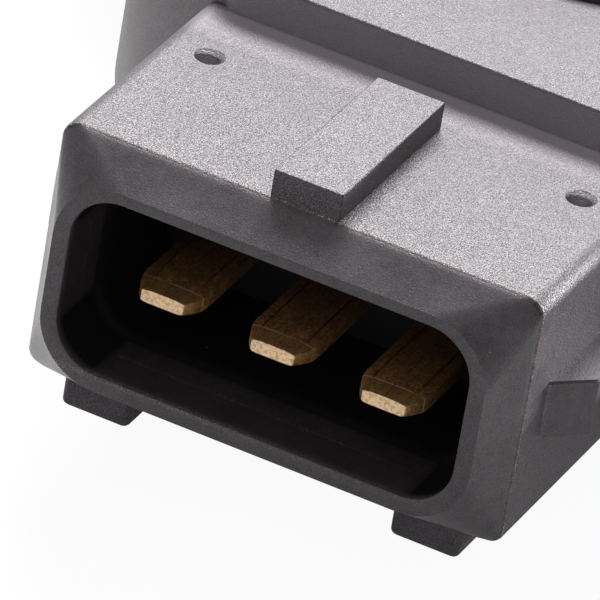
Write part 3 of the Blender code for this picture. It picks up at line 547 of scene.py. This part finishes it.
def spigot_mesh():
    """The spigot with the sealing ring's groove."""
    middle = -SPIGOT_LENGTH / 2
    low, high = middle - GROOVE_WIDTH / 2, middle + GROOVE_WIDTH / 2
    edge = CRISP_ROUND
    return revolve("spigot", [
        (SPIGOT_RADIUS - 2 * edge, -SPIGOT_LENGTH), (SPIGOT_RADIUS - edge / 2, edge / 2 - SPIGOT_LENGTH),
        (SPIGOT_RADIUS, 2 * edge - SPIGOT_LENGTH), (SPIGOT_RADIUS, low - edge), (SPIGOT_RADIUS - edge, low),
        (GROOVE_RADIUS, low), (GROOVE_RADIUS, high), (SPIGOT_RADIUS - edge, high),
        (SPIGOT_RADIUS, high + edge), (SPIGOT_RADIUS, OVERSHOOT)], capped=True)


def core_mesh():
    """What is bored from the body: hub bore, seal seat, rotor well, board seat, cover recess."""
    edge = CRISP_ROUND
    return revolve("core", [
        (BORE_RADIUS + 3 * edge, -SPIGOT_LENGTH - OVERSHOOT), (BORE_RADIUS + 3 * edge, -SPIGOT_LENGTH),
        (BORE_RADIUS, 3 * edge - SPIGOT_LENGTH), (BORE_RADIUS, SEAL_SEAT_LOW),
        (SEAL_SEAT_RADIUS, SEAL_SEAT_LOW), (SEAL_SEAT_RADIUS, WELL_FLOOR), (WELL_RADIUS, WELL_FLOOR),
        (WELL_RADIUS, LEDGE_HEIGHT), (CAVITY_RADIUS, LEDGE_HEIGHT), (CAVITY_RADIUS, RECESS_FLOOR),
        (RECESS_RADIUS, RECESS_FLOOR), (RECESS_RADIUS, BODY_HEIGHT - edge),
        (RECESS_RADIUS + edge, BODY_HEIGHT), (RECESS_RADIUS + edge, BODY_HEIGHT + OVERSHOOT)], capped=True)


def pockets_mesh():
    """Moulding pockets between radial ribs, open underneath."""
    pitch = POCKET_SPAN_DEG / POCKET_COUNT
    outer_lean = math.degrees(math.asin(POCKET_RIB / 2 / POCKET_OUTER))
    inner_lean = math.degrees(math.asin(POCKET_RIB / 2 / POCKET_INNER))
    pockets = []
    for i in range(POCKET_COUNT):
        start = 90 - POCKET_SPAN_DEG / 2 + i * pitch
        end = start + pitch
        outline = arc(0, 0, POCKET_OUTER, start + outer_lean, end - outer_lean, POCKET_OUTER_STEPS)
        outline += arc(0, 0, POCKET_INNER, end - inner_lean, start + inner_lean, POCKET_INNER_STEPS)
        pockets.append(prism("pocket", outline, -OVERSHOOT, POCKET_ROOF, 0, POCKET_ROOF_ROUND,
                             POCKET_CORNER))
    return merged("pockets", pockets)


def ear_holes_mesh():
    """Holes for the bushes, with a small chamfer at each end."""
    radius = BUSH_OUTER + SEAT_GAP
    holes = []
    for side in (-1, 1):
        profile = [(radius + SEAT_GAP, -OVERSHOOT), (radius + SEAT_GAP, 0), (radius, SEAT_GAP),
                   (radius, EAR_THICKNESS - SEAT_GAP), (radius + SEAT_GAP, EAR_THICKNESS),
                   (radius + SEAT_GAP, EAR_THICKNESS + OVERSHOOT)]
        holes.append(revolve("hole", profile, 64, capped=True, centre=ear_centre(side)))
    return merged("ear_holes", holes)


def build_housing(material):
    """Body, ears, shroud, rib, lugs, feet and spigot in one, less the dimples, bores and pockets."""
    body = prism("housing_shell", body_outline(), 0, BODY_HEIGHT, BODY_BOTTOM_EDGE, BODY_TOP_EDGE)
    shell = piece("housing_shell", body, material, "sensor_body", "housing_plastic", "housing")
    rib = prism("rib", box(-RIB_HALF, RIB_HALF, NOSE_LENGTH, RIB_END), SHROUD_HEIGHT - RIB_HEIGHT,
                SHROUD_HEIGHT + RIB_HEIGHT, 0, CRISP_ROUND * 0.8, CRISP_ROUND)
    feet = [prism("foot", box(low, high, NOSE_LENGTH - FOOT_LEAD, NOSE_LENGTH + FOOT_LENGTH),
                  -FOOT_DROP, FOOT_DROP, FOOT_SOLE_ROUND, 0, FOOT_CORNER)
            for low, high in ((FOOT_INNER, FOOT_OUTER), (-FOOT_OUTER, -FOOT_INNER))]
    ears = [prism("ear", ear_outline(EAR_ANGLE_DEG + turn), 0, EAR_THICKNESS, 0, EAR_EDGE)
            for turn in (0, 180)]
    added = ears + [shroud_mesh(), rib, lug_mesh(-1), lug_mesh(1), merged("feet", feet), spigot_mesh()]
    combine(shell, added, "UNION")
    dimples = merged("dimples", [dimple_mesh(-1), dimple_mesh(1)])
    combine(shell, [dimples, core_mesh(), pockets_mesh(), ear_holes_mesh()], "DIFFERENCE")
    smooth(shell, 25)


def blade_section(x, y, height, half_width, half_thick, groove, lean=0.0):
    """A section of a terminal: a raised panel on top between two fine grooves, and worn edges."""
    half_top = ((0.4, 1.0), (0.63, 0.98), (0.665, 0.9 - groove), (0.70, 0.92), (0.93, 0.82),
                (0.985, 0.74), (1.0, 0.62))
    top = tuple((-across, up) for across, up in reversed(half_top)) + ((0.0, 1.0),) + half_top
    bottom = ((1.0, -0.7), (0.97, -0.86), (0.9, -0.95), (0.7, -1.0), (-0.7, -1.0), (-0.9, -0.95),
              (-0.97, -0.86), (-1.0, -0.7))
    points = []
    for across, up in top + bottom:
        rise = up * half_thick
        points.append(Vector((x + across * half_width, y - rise * math.sin(lean),
                              MOUNTING + height + rise * math.cos(lean))))
    return points


def terminal_mesh(slot, tip):
    """A terminal from its tip through the wall, up its riser and into the board as a pin."""
    blade_x, tail_x = slot * BLADE_PITCH, slot * TAIL_PITCH
    sections, along = [], []

    def add(x, y, height, half_width, half_thick, groove=0.0, lean=0.0):
        sections.append(blade_section(x, y, height, half_width, half_thick, groove, lean))
        along.append(y - tip)

    wall = RIM_Y + MOUTH_DEPTH
    for i in range(BLADE_STEPS + 1):
        back = (wall - tip) * (i / BLADE_STEPS) ** 1.4
        share = min(back / BLADE_TAPER, 1.0)
        width = BLADE_TIP_WIDTH + (1 - BLADE_TIP_WIDTH) * math.sin(math.pi / 2 * share) ** 0.8
        slope = min(back / BLADE_CREASE, 1.0)
        thick = BLADE_TIP_THICK + (1 - BLADE_TIP_THICK) * slope
        groove = COINED_DEPTH * min(max(back - BLADE_CREASE, 0.0) / COINED_RUN, 1.0)
        add(blade_x, tip + back, BLADE_HEIGHT, BLADE_HALF * width, BLADE_THICK_HALF * thick, groove)
    thick = BLADE_THICK_HALF
    add(blade_x, wall + 2 * thick, BLADE_HEIGHT, BLADE_HALF, thick)
    add(blade_x, wall + 4 * thick, BLADE_HEIGHT, TAIL_HALF, thick)
    jog = wall + 6 * thick
    bend = -RISER_OFFSET - TAIL_BEND
    add(blade_x, jog, BLADE_HEIGHT, TAIL_HALF, thick)
    add(tail_x, jog + (bend - jog) * 0.6, BLADE_HEIGHT, TAIL_HALF, thick)
    for i in range(ARC_STEPS + 1):
        lean = math.radians(90.0 * i / ARC_STEPS)
        add(tail_x, bend + TAIL_BEND * math.sin(lean), BLADE_HEIGHT + TAIL_BEND * (1 - math.cos(lean)),
            TAIL_HALF, thick, 0.0, lean)
    neck = LEDGE_HEIGHT - 2 * SEAT_GAP
    add(tail_x, -RISER_OFFSET, neck, TAIL_HALF, thick, 0.0, math.pi / 2)
    for height in (neck + SEAT_GAP, BOARD_PIN_TOP - SEAT_GAP / 2):
        add(tail_x, -RISER_OFFSET, height, PIN_HALF, SEAT_GAP, 0.0, math.pi / 2)
    add(tail_x, -RISER_OFFSET, BOARD_PIN_TOP, PIN_HALF * 0.6, SEAT_GAP * 0.6, 0.0, math.pi / 2)

    for i, (section, back) in enumerate(zip(sections, along)):
        if back > MOUTH_DEPTH:
            break
        for j, point in enumerate(section):
            rough = sum(noise.noise(point * often) * swell for often, swell in SWELLS)
            pull = SHEARED_SWELL if i == 0 else 1.0
            point.z += rough * pull
            if j in SIDE_POINTS:
                point.x += math.copysign(rough, point.x - blade_x) * pull
    return loft("terminal", sections)


def build_terminals(material_of):
    """The three blades, each worn in its own way."""
    for slot, name in ((-1, "supply"), (0, "signal"), (1, "ground")):
        node = "terminal_" + name
        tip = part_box(node)[0][1]
        blade = piece("blade_" + name, terminal_mesh(slot, tip), material_of(node, slot, tip), "sensor_body",
                      "terminal_brass", node)
        smooth(blade, 32)


def build_cover(material):
    """The round cover with a softly broken edge."""
    low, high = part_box("cover")
    radius, top = high[0], high[2] - MOUNTING
    edge = SEAT_GAP
    under = top - DISC_THICKNESS
    boss = BOSS_RADIUS - SEAT_GAP / 3
    profile = [(boss, PIN_TOP - SEAT_GAP), (boss, under), (radius - CRISP_ROUND, under),
               (radius, under + CRISP_ROUND)]
    for i in range(7):
        angle = math.radians(15.0 * i)
        profile.append((radius - edge * (1 - math.cos(angle)), top - edge * (1 - math.sin(angle))))
    cover = piece("cover_disc", revolve("cover_disc", profile, capped=True), material, "sensor_body",
                  "cover_plastic", "cover")
    outer = CAVITY_RADIUS - SEAT_GAP
    skirt = arc(0, 0, outer, SKIRT_START_DEG, SKIRT_END_DEG, 90)
    skirt += arc(0, 0, outer - SKIRT_WALL, SKIRT_END_DEG, SKIRT_START_DEG, 90)
    hollow = revolve("pin_seat", [(PIN_RADIUS + SEAT_GAP, PIN_TOP - 2 * SEAT_GAP),
                                  (PIN_RADIUS + SEAT_GAP, PIN_TOP + SEAT_GAP)], 48, capped=True)
    combine(cover, [prism("skirt", skirt, low[2] - MOUNTING, top - SKIRT_TOP)], "UNION")
    combine(cover, [hollow], "DIFFERENCE")
    smooth(cover, 30)


def build_bushes(material):
    """Turned steel bushes with chamfered mouths."""
    edge = END_CHAMFER
    profile = [(BUSH_BORE + edge, 0.0), (BUSH_OUTER - edge, 0.0), (BUSH_OUTER - edge * 0.3, edge * 0.3),
               (BUSH_OUTER, edge), (BUSH_OUTER, EAR_THICKNESS - edge),
               (BUSH_OUTER - edge * 0.3, EAR_THICKNESS - edge * 0.3), (BUSH_OUTER - edge, EAR_THICKNESS),
               (BUSH_BORE + edge, EAR_THICKNESS), (BUSH_BORE, EAR_THICKNESS - edge), (BUSH_BORE, edge)]
    for side, name in ((-1, "left"), (1, "right")):
        data = revolve("bush_" + name, profile, 96, centre=ear_centre(side))
        smooth(piece("bush_" + name, data, material, "sensor_body", "bush_steel", "ear_bush_" + name), 30)


def build_ring(material):
    """The sealing ring in the spigot's groove, with its fine moulding seam."""
    profile = []
    for i in range(40):
        angle = math.tau * i / 40
        swell = 1.015 if i in (0, 20) else 1.0
        profile.append((RING_MIDDLE + RING_SECTION * swell * math.cos(angle),
                        RING_SECTION * math.sin(angle) - SPIGOT_LENGTH / 2))
    smooth(piece("sealing_ring", revolve("sealing_ring", profile), material, "sensor_body",
                 "ring_rubber", "o_ring"), 60)


def build_rotor(material):
    """The rotor with its flange, stop lug, flatted socket and the clip's groove."""
    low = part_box("rotor")[0][2] - MOUNTING
    edge = END_CHAMFER
    profile = [(HUB_RADIUS - edge, low), (HUB_RADIUS - edge * 0.3, low + edge * 0.3),
               (HUB_RADIUS, low + edge), (HUB_RADIUS, FLANGE_LOW), (FLANGE_RADIUS - CRISP_ROUND, FLANGE_LOW),
               (FLANGE_RADIUS, FLANGE_LOW + CRISP_ROUND), (FLANGE_RADIUS, FLANGE_HIGH - CRISP_ROUND),
               (FLANGE_RADIUS - CRISP_ROUND, FLANGE_HIGH), (BOSS_RADIUS, FLANGE_HIGH),
               (BOSS_RADIUS, BOSS_TOP), (PIN_RADIUS, BOSS_TOP), (PIN_RADIUS, PIN_TOP)]
    rotor = piece("rotor_hub", revolve("rotor_hub", profile, capped=True), material, "rotor",
                  "rotor_resin", "rotor")
    start, end = REST_DEG - STOP_HALF_DEG, REST_DEG + STOP_HALF_DEG
    lug = arc(0, 0, FLANGE_RADIUS + STOP_REACH, start, end, ARC_STEPS)
    lug += arc(0, 0, FLANGE_RADIUS - STOP_REACH, end, start, ARC_STEPS)
    half = math.degrees(math.acos(SOCKET_FLAT / SOCKET_RADIUS))
    socket = arc(0, 0, SOCKET_RADIUS, 90 + half, 450 - half, 96)
    groove = [(-CLIP_HALF, SOCKET_FLAT / 2), (CLIP_HALF, SOCKET_FLAT / 2), (CLIP_HALF, CLIP_BACK),
              (-CLIP_HALF, CLIP_BACK)]
    combine(rotor, [prism("stop_lug", lug, FLANGE_LOW, FLANGE_HIGH)], "UNION")
    combine(rotor, [prism("socket", socket, low - OVERSHOOT, low + SOCKET_DEPTH, 0, SOCKET_ROUND),
                    prism("clip_groove", groove, low - OVERSHOOT, low + CLIP_TOP)], "DIFFERENCE")
    smooth(rotor, 30)


class Nodes:
    """Adds nodes to a shader tree, by calls that name a node's kind and its sockets."""

    def __init__(self, tree):
        self.tree = tree

    def feed(self, socket, value):
        """Links another node's output to a socket, or sets the socket to a plain value."""
        if isinstance(value, bpy.types.NodeSocket):
            self.tree.links.new(value, socket)
        else:
            socket.default_value = value

    def add(self, kind, sockets=None, **settings):
        node = self.tree.nodes.new("ShaderNode" + kind)
        for name, value in settings.items():
            setattr(node, name, value)
        for name, value in (sockets or {}).items():
            self.feed(node.inputs[name], value)
        return node

    def math(self, operation, first, second=0.0):
        return self.add("Math", {0: first, 1: second}, operation=operation).outputs[0]

    def times(self, product, *factors):
        for factor in factors:
            product = self.math("MULTIPLY", product, factor)
        return product

    def ramp(self, value, low, high, to_low=0.0, to_high=1.0):
        """Carries value from the range low to high over to another range, clamped."""
        sockets = {"Value": value, "From Min": low, "From Max": high, "To Min": to_low, "To Max": to_high}
        return self.add("MapRange", sockets).outputs[0]

    def within(self, value, low, high, soft):
        """1 between low and high, and 0 outside."""
        rise = self.ramp(value, low - soft, low + soft)
        fall = self.ramp(value, high - soft, high + soft, 1.0, 0.0)
        return self.times(rise, fall)

    def damp(self, mask, share):
        """1 where a mask is 0, and share where it is 1."""
        return self.ramp(mask, 0.0, 1.0, 1.0, share)

    def axes(self, place):
        parts = self.add("SeparateXYZ", {0: place})
        return parts.outputs[0], parts.outputs[1], parts.outputs[2]


class Surface(Nodes):
    """A piece's material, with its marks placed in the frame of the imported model."""

    def __init__(self, name, roughness, metallic=0.0, specular=0.5, tint=(1.0, 1.0, 1.0)):
        self.material = bpy.data.materials.new(name)
        self.material.use_nodes = True
        super().__init__(self.material.node_tree)
        self.shader = self.tree.nodes["Principled BSDF"]
        self.shader.inputs["Roughness"].default_value = roughness
        self.shader.inputs["Metallic"].default_value = metallic
        self.shader.inputs["Specular IOR Level"].default_value = specular
        self.shader.inputs["IOR"].default_value = 1.5
        self.shader.inputs["Specular Tint"].default_value = (*tint, 1.0)
        self.place = self.add("TexCoord").outputs["Object"]
        self.skewed = self.add("VectorRotate", {"Vector": self.place, "Rotation": SKEW},
                               rotation_type="EULER_XYZ").outputs[0]

    def noise(self, scale, detail=2.0, place=None):
        where = place or self.skewed
        return self.add("TexNoise", {"Vector": where, "Scale": scale, "Detail": detail}).outputs["Fac"]

    def specks(self, scale, size, share):
        """Small round specks in a part of the cells."""
        cells = self.add("TexVoronoi", {"Vector": self.place, "Scale": scale})
        draw = self.add("SeparateColor", {0: cells.outputs["Color"]}).outputs[0]
        return self.times(self.ramp(cells.outputs["Distance"], size, size * 0.6),
                          self.ramp(draw, share, share - 0.02))

    def mix(self, share, first, second):
        """Mixes two colours, given as triples or outputs."""
        node = self.add("Mix", {"Factor": share}, data_type="RGBA")
        for index, color in ((6, first), (7, second)):
            plain = not isinstance(color, bpy.types.NodeSocket)
            self.feed(node.inputs[index], (*color, 1.0) if plain else color)
        return node.outputs[2]

    def finish(self, color, bump, depth, roughness):
        """Feeds the shader, and gives the finished material."""
        self.feed(self.shader.inputs["Base Color"], color)
        self.feed(self.shader.inputs["Roughness"], roughness)
        normal = self.add("Bump", {"Height": bump, "Distance": depth, "Strength": 1.0}).outputs[0]
        self.feed(self.shader.inputs["Normal"], normal)
        return self.material


def shades(color, amount):
    """A colour made darker or paler."""
    return tuple(c * amount for c in color)


def grained_material(name, color, roughness, metallic=0.0, scale=GRAIN_SCALE, depth=GRAIN_DEPTH,
                     spread=0.25, specular=0.5, tint=(1.0, 1.0, 1.0)):
    """A plain moulded, cast or rolled finish: fine grain, soft mottling and uneven gloss."""
    tree = Surface(name, roughness, metallic, specular, tint)
    grain = tree.noise(scale, 3.0)
    cloud = tree.noise(scale / 20, 3.0)
    mottle = tree.math("ADD", tree.times(cloud, 0.7), tree.times(grain, 0.3))
    shade = tree.mix(tree.ramp(mottle, 0.35, 0.65), shades(color, 1 - spread), shades(color, 1 + spread))
    gloss = tree.ramp(cloud, 0.3, 0.7, roughness * 0.85, min(roughness * 1.2, 1.0))
    return tree.finish(shade, grain, depth, gloss)


def turned_material(name, color, roughness):
    """Steel with the fine rings that turning leaves."""
    tree = Surface(name, roughness, 1.0)
    x, y, z = tree.axes(tree.place)
    stretched = tree.add("CombineXYZ", {0: tree.times(x, 0.1), 1: tree.times(y, 0.1), 2: z}).outputs[0]
    rings = tree.noise(16000, 2.0, stretched)
    cloud = tree.noise(900, 3.0)
    shade = tree.mix(tree.ramp(cloud, 0.3, 0.7), shades(color, 0.75), shades(color, 1.1))
    return tree.finish(shade, rings, 0.000004, tree.ramp(cloud, 0.3, 0.7, roughness * 0.8, roughness * 1.3))


def housing_material():
    """Black glass-filled plastic, with a matt grain outside, and a smoother mouth painted darker as shade.
    """
    tree = Surface("housing_plastic", TOP_ROUGHNESS, tint=GLOSS_TINT)
    x, y, z = tree.axes(tree.place)
    side = tree.math("ABSOLUTE", x)
    depth = tree.math("SUBTRACT", y, RIM_Y)
    height = tree.math("SUBTRACT", z, MOUNTING)

    # Masks: 1 in the place they are named for
    inside = tree.times(tree.within(x, -MOUTH_HALF, MOUTH_HALF, 0.00004),
                        tree.within(height, MOUTH_FLOOR, MOUTH_ROOF, 0.00004),
                        tree.within(depth, 0.0003, MOUTH_DEPTH + 0.0003, 0.0002))
    nose = tree.ramp(depth, NOSE_LENGTH - 0.0001, NOSE_LENGTH, 1.0, 0.0)
    lug = tree.times(tree.ramp(side, SHROUD_HALF, SHROUD_HALF + 0.0002),
                     tree.ramp(depth, STEP_SETBACK, STEP_SETBACK - 0.0002))
    level_top = tree.ramp(height, SHROUD_HEIGHT - 0.0003, SHROUD_HEIGHT - 0.0002)

    # The share of the grain and of the sparkle that is left
    kept_grain = tree.times(tree.damp(inside, 0.2), tree.damp(nose, 0.4), tree.damp(lug, 0.5))

    # Mottled black
    grain = tree.noise(GRAIN_SCALE, 2.0)
    blotch = tree.noise(2600, 3.0)
    cloud = tree.noise(520, 3.0)
    mottle = tree.math("ADD", tree.times(cloud, 0.5), tree.times(blotch, 0.5))
    shade = tree.mix(tree.ramp(mottle, 0.35, 0.65), shades(PLASTIC, 0.78), shades(PLASTIC, 1.25))

    # The worn crease round the nose, with a line of painted shade before it on the flanks
    outer = tree.times(tree.within(height, 0.0, SHROUD_HEIGHT + 0.00002, 0.00002),
                       tree.math("SUBTRACT", 1.0, inside))
    flank = tree.ramp(side, SHROUD_HALF - 0.0007, SHROUD_HALF - 0.0004)
    crease = tree.times(tree.within(depth, NOSE_LENGTH - 0.00004, NOSE_LENGTH + 0.00005, 0.00002), outer)
    groove = tree.times(tree.within(depth, NOSE_LENGTH - 0.00014, NOSE_LENGTH - 0.00004, 0.00002),
                        outer, flank)
    fleck = tree.noise(6500, 3.0)
    shade = tree.mix(tree.times(groove, tree.ramp(fleck, 0.6, 0.45)), shade, PAINTED_SHADE_BLACK)
    shade = tree.mix(tree.times(crease, tree.ramp(fleck, 0.5, 0.58)), shade, CREASE_BROWN)
    shade = tree.mix(tree.times(crease, tree.ramp(fleck, 0.42, 0.38)), shade, WORN_LIP)

    # Painted light in the corner between the shroud's top and the body's step, laid over the step's cast
    # shadow: paler on the level than on the wall
    corner = tree.times(tree.ramp(depth, STEP_SETBACK - 0.0026, STEP_SETBACK - 0.0003),
                        tree.ramp(depth, STEP_SETBACK + 0.0002, STEP_SETBACK + 0.0001),
                        tree.ramp(height, BODY_HEIGHT - 0.00005, BODY_HEIGHT - 0.00015), level_top)
    paler = tree.ramp(depth, STEP_SETBACK - 0.00015, STEP_SETBACK - 0.00005, 0.9, 0.5)
    shade = tree.mix(tree.times(corner, paler), shade, STEP_PAINTED_LIGHT)

    # The dimples, painted dark as shade, darkest a little in front of their middle
    aside = tree.math("SUBTRACT", side, DIMPLE_OFFSET)
    along = tree.math("SUBTRACT", depth, DIMPLE_SETBACK - DIMPLE_RADIUS * 0.3)
    away = tree.math("SQRT", tree.math("ADD", tree.times(aside, aside), tree.times(along, along)))
    bowl = tree.times(tree.ramp(away, DIMPLE_RADIUS * 1.06, DIMPLE_RADIUS * 0.78),
                      tree.ramp(height, SHROUD_HEIGHT - 0.000002, SHROUD_HEIGHT - 0.00001), level_top)
    shade = tree.mix(tree.times(bowl, 0.75), shade, PAINTED_SHADE_BLACK)

    # Dust outside, painted shade that darkens the mouth, and a little dust in it
    shade = tree.mix(tree.times(tree.specks(900, 0.045, 0.16), 0.5), shade, DUST)
    shade = tree.mix(inside, shade, PAINTED_SHADE_BLACK)
    shade = tree.mix(tree.times(tree.specks(1500, 0.1, 0.08), inside, 0.35), shade, DUST)

    # The mouth's lower lip, worn most on the left
    lip = tree.times(tree.within(height, MOUTH_FLOOR - 0.00016, MOUTH_FLOOR + 0.00008, 0.00003),
                     tree.within(depth, -0.0001, 0.00025, 0.00003))
    worn = tree.times(tree.ramp(tree.noise(16000, 3.0), 0.5, 0.7), tree.ramp(x, 0.004, -0.003, 0.2, 0.6))
    shade = tree.mix(tree.times(lip, worn), shade, WORN_LIP)

    # Gloss, with a dull underside, and a sparkle that is strongest near the rim
    gloss = tree.math("ADD", tree.ramp(nose, 0.0, 1.0, TOP_ROUGHNESS, NOSE_ROUGHNESS),
                      tree.ramp(cloud, 0.3, 0.7, -0.03, 0.03))
    gloss = tree.math("MAXIMUM", gloss, tree.ramp(height, 0.00002, -0.00002, 0.0, 0.8))
    sparkle = tree.times(tree.ramp(tree.noise(SPARKLE_SCALE, 1.0), 0.36, 0.64, -SPARKLE, SPARKLE),
                         kept_grain, tree.ramp(depth, 0.002, 0.016, 1.3, 0.75))
    specular = tree.math("ADD", tree.ramp(nose, 0.0, 1.0, TOP_SPECULAR, NOSE_SPECULAR), sparkle)
    specular = tree.times(specular, tree.damp(inside, 0.4), tree.damp(bowl, 0.07), tree.damp(lug, 0.75))
    tree.feed(tree.shader.inputs["Specular IOR Level"], specular)
    bump = tree.times(tree.math("ADD", grain, tree.times(blotch, 0.5)), kept_grain)
    return tree.finish(shade, bump, GRAIN_DEPTH, gloss)


def blade_material(name, slot, tip):
    """Aged brass: a bright sheared tip, patina, and a colour that grows darker towards the wall."""
    tree = Surface(name, 0.42, 0.75)
    x, y, z = tree.axes(tree.place)
    back = tree.math("SUBTRACT", y, tip)
    across = tree.math("SUBTRACT", x, slot * BLADE_PITCH)
    stretched = tree.add("CombineXYZ", {0: x, 1: tree.times(y, 0.3), 2: z}).outputs[0]
    streaks = tree.noise(14000, 4.0, stretched)
    pits = tree.noise(7000, 4.0)
    cloud = tree.noise(1400, 4.0)

    # Patina
    patina = tree.mix(tree.ramp(pits, 0.3, 0.6), shades(BRASS, 0.35), BRASS)
    patina = tree.mix(tree.ramp(cloud, 0.35, 0.65, 0.0, 0.35), patina, BRASS_DARK)
    # Darker towards the wall
    patina = tree.mix(tree.ramp(back, 0.001, 0.004, 0.0, 0.6), patina, BRASS_DARK)
    patina = tree.mix(tree.times(tree.ramp(streaks, 0.48, 0.62), 0.5), patina, BRASS_DARK)

    # The greener bevel at the tip, and the bright line where it ends
    bevel = tree.times(tree.within(back, 0.00004, BLADE_CREASE - 0.00003, 0.00003),
                       tree.ramp(pits, 0.35, 0.6))
    patina = tree.mix(tree.times(bevel, 0.55), patina, BRASS_GREEN)
    line = tree.within(back, BLADE_CREASE - 0.00003, BLADE_CREASE + 0.00003, 0.00002)
    patina = tree.mix(tree.times(line, tree.ramp(cloud, 0.35, 0.5)), patina, BRASS_BRIGHT)

    # A scratch along the middle
    scratch = tree.times(tree.within(across, -0.00002, 0.00003, 0.00002),
                         tree.ramp(tree.noise(1200, 2.0), 0.45, 0.55))
    patina = tree.mix(tree.times(scratch, 0.8), patina, BRASS_DARK)

    # The sheared end
    sheared = tree.mix(tree.ramp(pits, 0.38, 0.55), BRASS_PIT, BRASS_BRIGHT)
    color = tree.mix(tree.ramp(back, 0.00004, 0.00001), patina, sheared)
    bump = tree.math("ADD", pits, tree.times(streaks, 0.7))
    return tree.finish(color, bump, 0.000012, tree.ramp(pits, 0.3, 0.7, 0.36, 0.58))


def finish_kept_nodes(nodes):
    """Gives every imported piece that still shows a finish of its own."""
    for name, plain_finish in KEPT_FINISH.items():
        material = grained_material(name + "_finish", *plain_finish)
        nodes[name].data.materials.clear()
        nodes[name].data.materials.append(material)


def add_floor(height):
    """A pale floor: white to the camera, with a faint trace of the object's shadow."""
    mesh = bmesh.new()
    bmesh.ops.create_grid(mesh, x_segments=1, y_segments=1, size=FLOOR_SIZE / 2)
    data = bpy.data.meshes.new("floor")
    mesh.to_mesh(data)
    mesh.free()
    floor = bpy.data.objects.new("floor", data)
    bpy.context.scene.collection.objects.link(floor)
    floor.location = (0, 0, height)
    material = bpy.data.materials.new("floor")
    material.use_nodes = True
    nodes = Nodes(material.node_tree)
    shader = nodes.tree.nodes["Principled BSDF"]
    shader.inputs["Base Color"].default_value = FLOOR_GREY
    shader.inputs["Roughness"].default_value = 0.9
    shader.inputs["Specular IOR Level"].default_value = 0.0

    # The share of the glow that glossy surfaces see, place by place
    x, y, _ = nodes.axes(nodes.add("TexCoord").outputs["Object"])
    behind = nodes.ramp(y, -0.036, -0.03)
    left = nodes.times(nodes.ramp(x, -0.009, -0.0125), nodes.ramp(x, -0.03, -0.026), MIRROR_LEFT)
    right = nodes.ramp(x, 0.017, 0.021, 0.0, MIRROR_RIGHT)
    mirror = nodes.math("ADD", MIRROR_FRONT, nodes.times(behind, nodes.math("ADD", left, right)))

    path = nodes.add("LightPath").outputs
    strength = nodes.ramp(path["Is Glossy Ray"], 0.0, 1.0, SEEN_STRENGTH, MIRROR_STRENGTH)
    glow = nodes.add("Emission", {"Strength": strength})
    share = nodes.math("ADD", nodes.times(path["Is Camera Ray"], FLOOR_GLOW),
                       nodes.times(path["Is Glossy Ray"], mirror))
    mixer = nodes.add("MixShader", {0: share, 1: shader.outputs[0], 2: glow.outputs[0]})
    nodes.feed(nodes.tree.nodes["Material Output"].inputs[0], mixer.outputs[0])
    material.cycles.emission_sampling = "NONE"
    floor.data.materials.append(material)


def add_world():
    """White to the camera, and dimmer as light.

    Glossy surfaces also see a dark screen to the upper right and soft glints behind.
    """
    world = bpy.data.worlds.new("world")
    world.use_nodes = True
    nodes = Nodes(world.node_tree)
    background = nodes.tree.nodes["Background"]
    background.inputs["Color"].default_value = (1, 1, 1, 1)
    direction = nodes.add("TexCoord").outputs["Generated"]

    def facing(toward):
        """The cosine between a ray and a direction."""
        return nodes.add("VectorMath", {0: direction, 1: Vector(toward).normalized()},
                         operation="DOT_PRODUCT").outputs["Value"]

    seen = nodes.ramp(facing(SCREEN_DIRECTION), 0.72, 0.9, WORLD_LIGHT, WORLD_LIGHT * SCREEN_SHARE)
    for toward, light in GLINTS:
        seen = nodes.math("ADD", seen, nodes.ramp(facing(toward), 0.9, 0.97, 0.0, light))
    path = nodes.add("LightPath").outputs
    lit = nodes.math("ADD", nodes.times(seen, path["Is Glossy Ray"]),
                     nodes.times(WORLD_LIGHT, path["Is Diffuse Ray"]))
    nodes.feed(background.inputs["Strength"], nodes.math("ADD", lit, path["Is Camera Ray"]))
    world.cycles.sampling_method = "NONE"
    bpy.context.scene.world = world


def add_lamps():
    """The area lamps, each turned to its target."""
    for name, (place, target, width, height, power, mirrored) in LAMPS.items():
        data = bpy.data.lights.new(name, "AREA")
        data.shape = "RECTANGLE"
        data.size = width
        data.size_y = height
        data.energy = power
        lamp = bpy.data.objects.new(name, data)
        bpy.context.scene.collection.objects.link(lamp)
        lamp.location = place
        lamp.rotation_euler = (Vector(target) - Vector(place)).to_track_quat("-Z", "Y").to_euler()
        lamp.visible_camera = False
        lamp.visible_glossy = mirrored


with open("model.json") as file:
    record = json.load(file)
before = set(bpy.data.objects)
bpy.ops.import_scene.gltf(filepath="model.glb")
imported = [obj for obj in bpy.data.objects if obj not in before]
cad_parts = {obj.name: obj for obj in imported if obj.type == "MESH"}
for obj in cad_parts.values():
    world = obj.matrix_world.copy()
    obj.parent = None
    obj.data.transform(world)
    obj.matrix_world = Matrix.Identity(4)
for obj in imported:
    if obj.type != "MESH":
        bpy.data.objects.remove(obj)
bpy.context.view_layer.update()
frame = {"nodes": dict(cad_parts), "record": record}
mounts = {mount["name"]: mount["pos_m"] for mount in frame["record"]["mounts"]}
RIM_Y = mounts["plug_rim"][1]
MOUNTING = mounts["mounting_face"][2]

add_camera(at(0, 0, (MOUTH_FLOOR + MOUTH_ROOF) / 2))
build_housing(housing_material())
build_terminals(blade_material)
build_cover(grained_material("cover_plastic", PLASTIC, TOP_ROUGHNESS, spread=0.15,
                             specular=TOP_SPECULAR, tint=GLOSS_TINT))
build_bushes(turned_material("bush_steel", BUSH_STEEL, 0.3))
build_ring(grained_material("ring_rubber", *RING_RUBBER))
build_rotor(grained_material("rotor_resin", *ROTOR_RESIN))
finish_kept_nodes(frame["nodes"])

add_floor(mounts["spigot_end"][2] - FLOOR_GAP)
add_world()
add_lamps()
bpy.context.scene.view_settings.view_transform = "Standard"
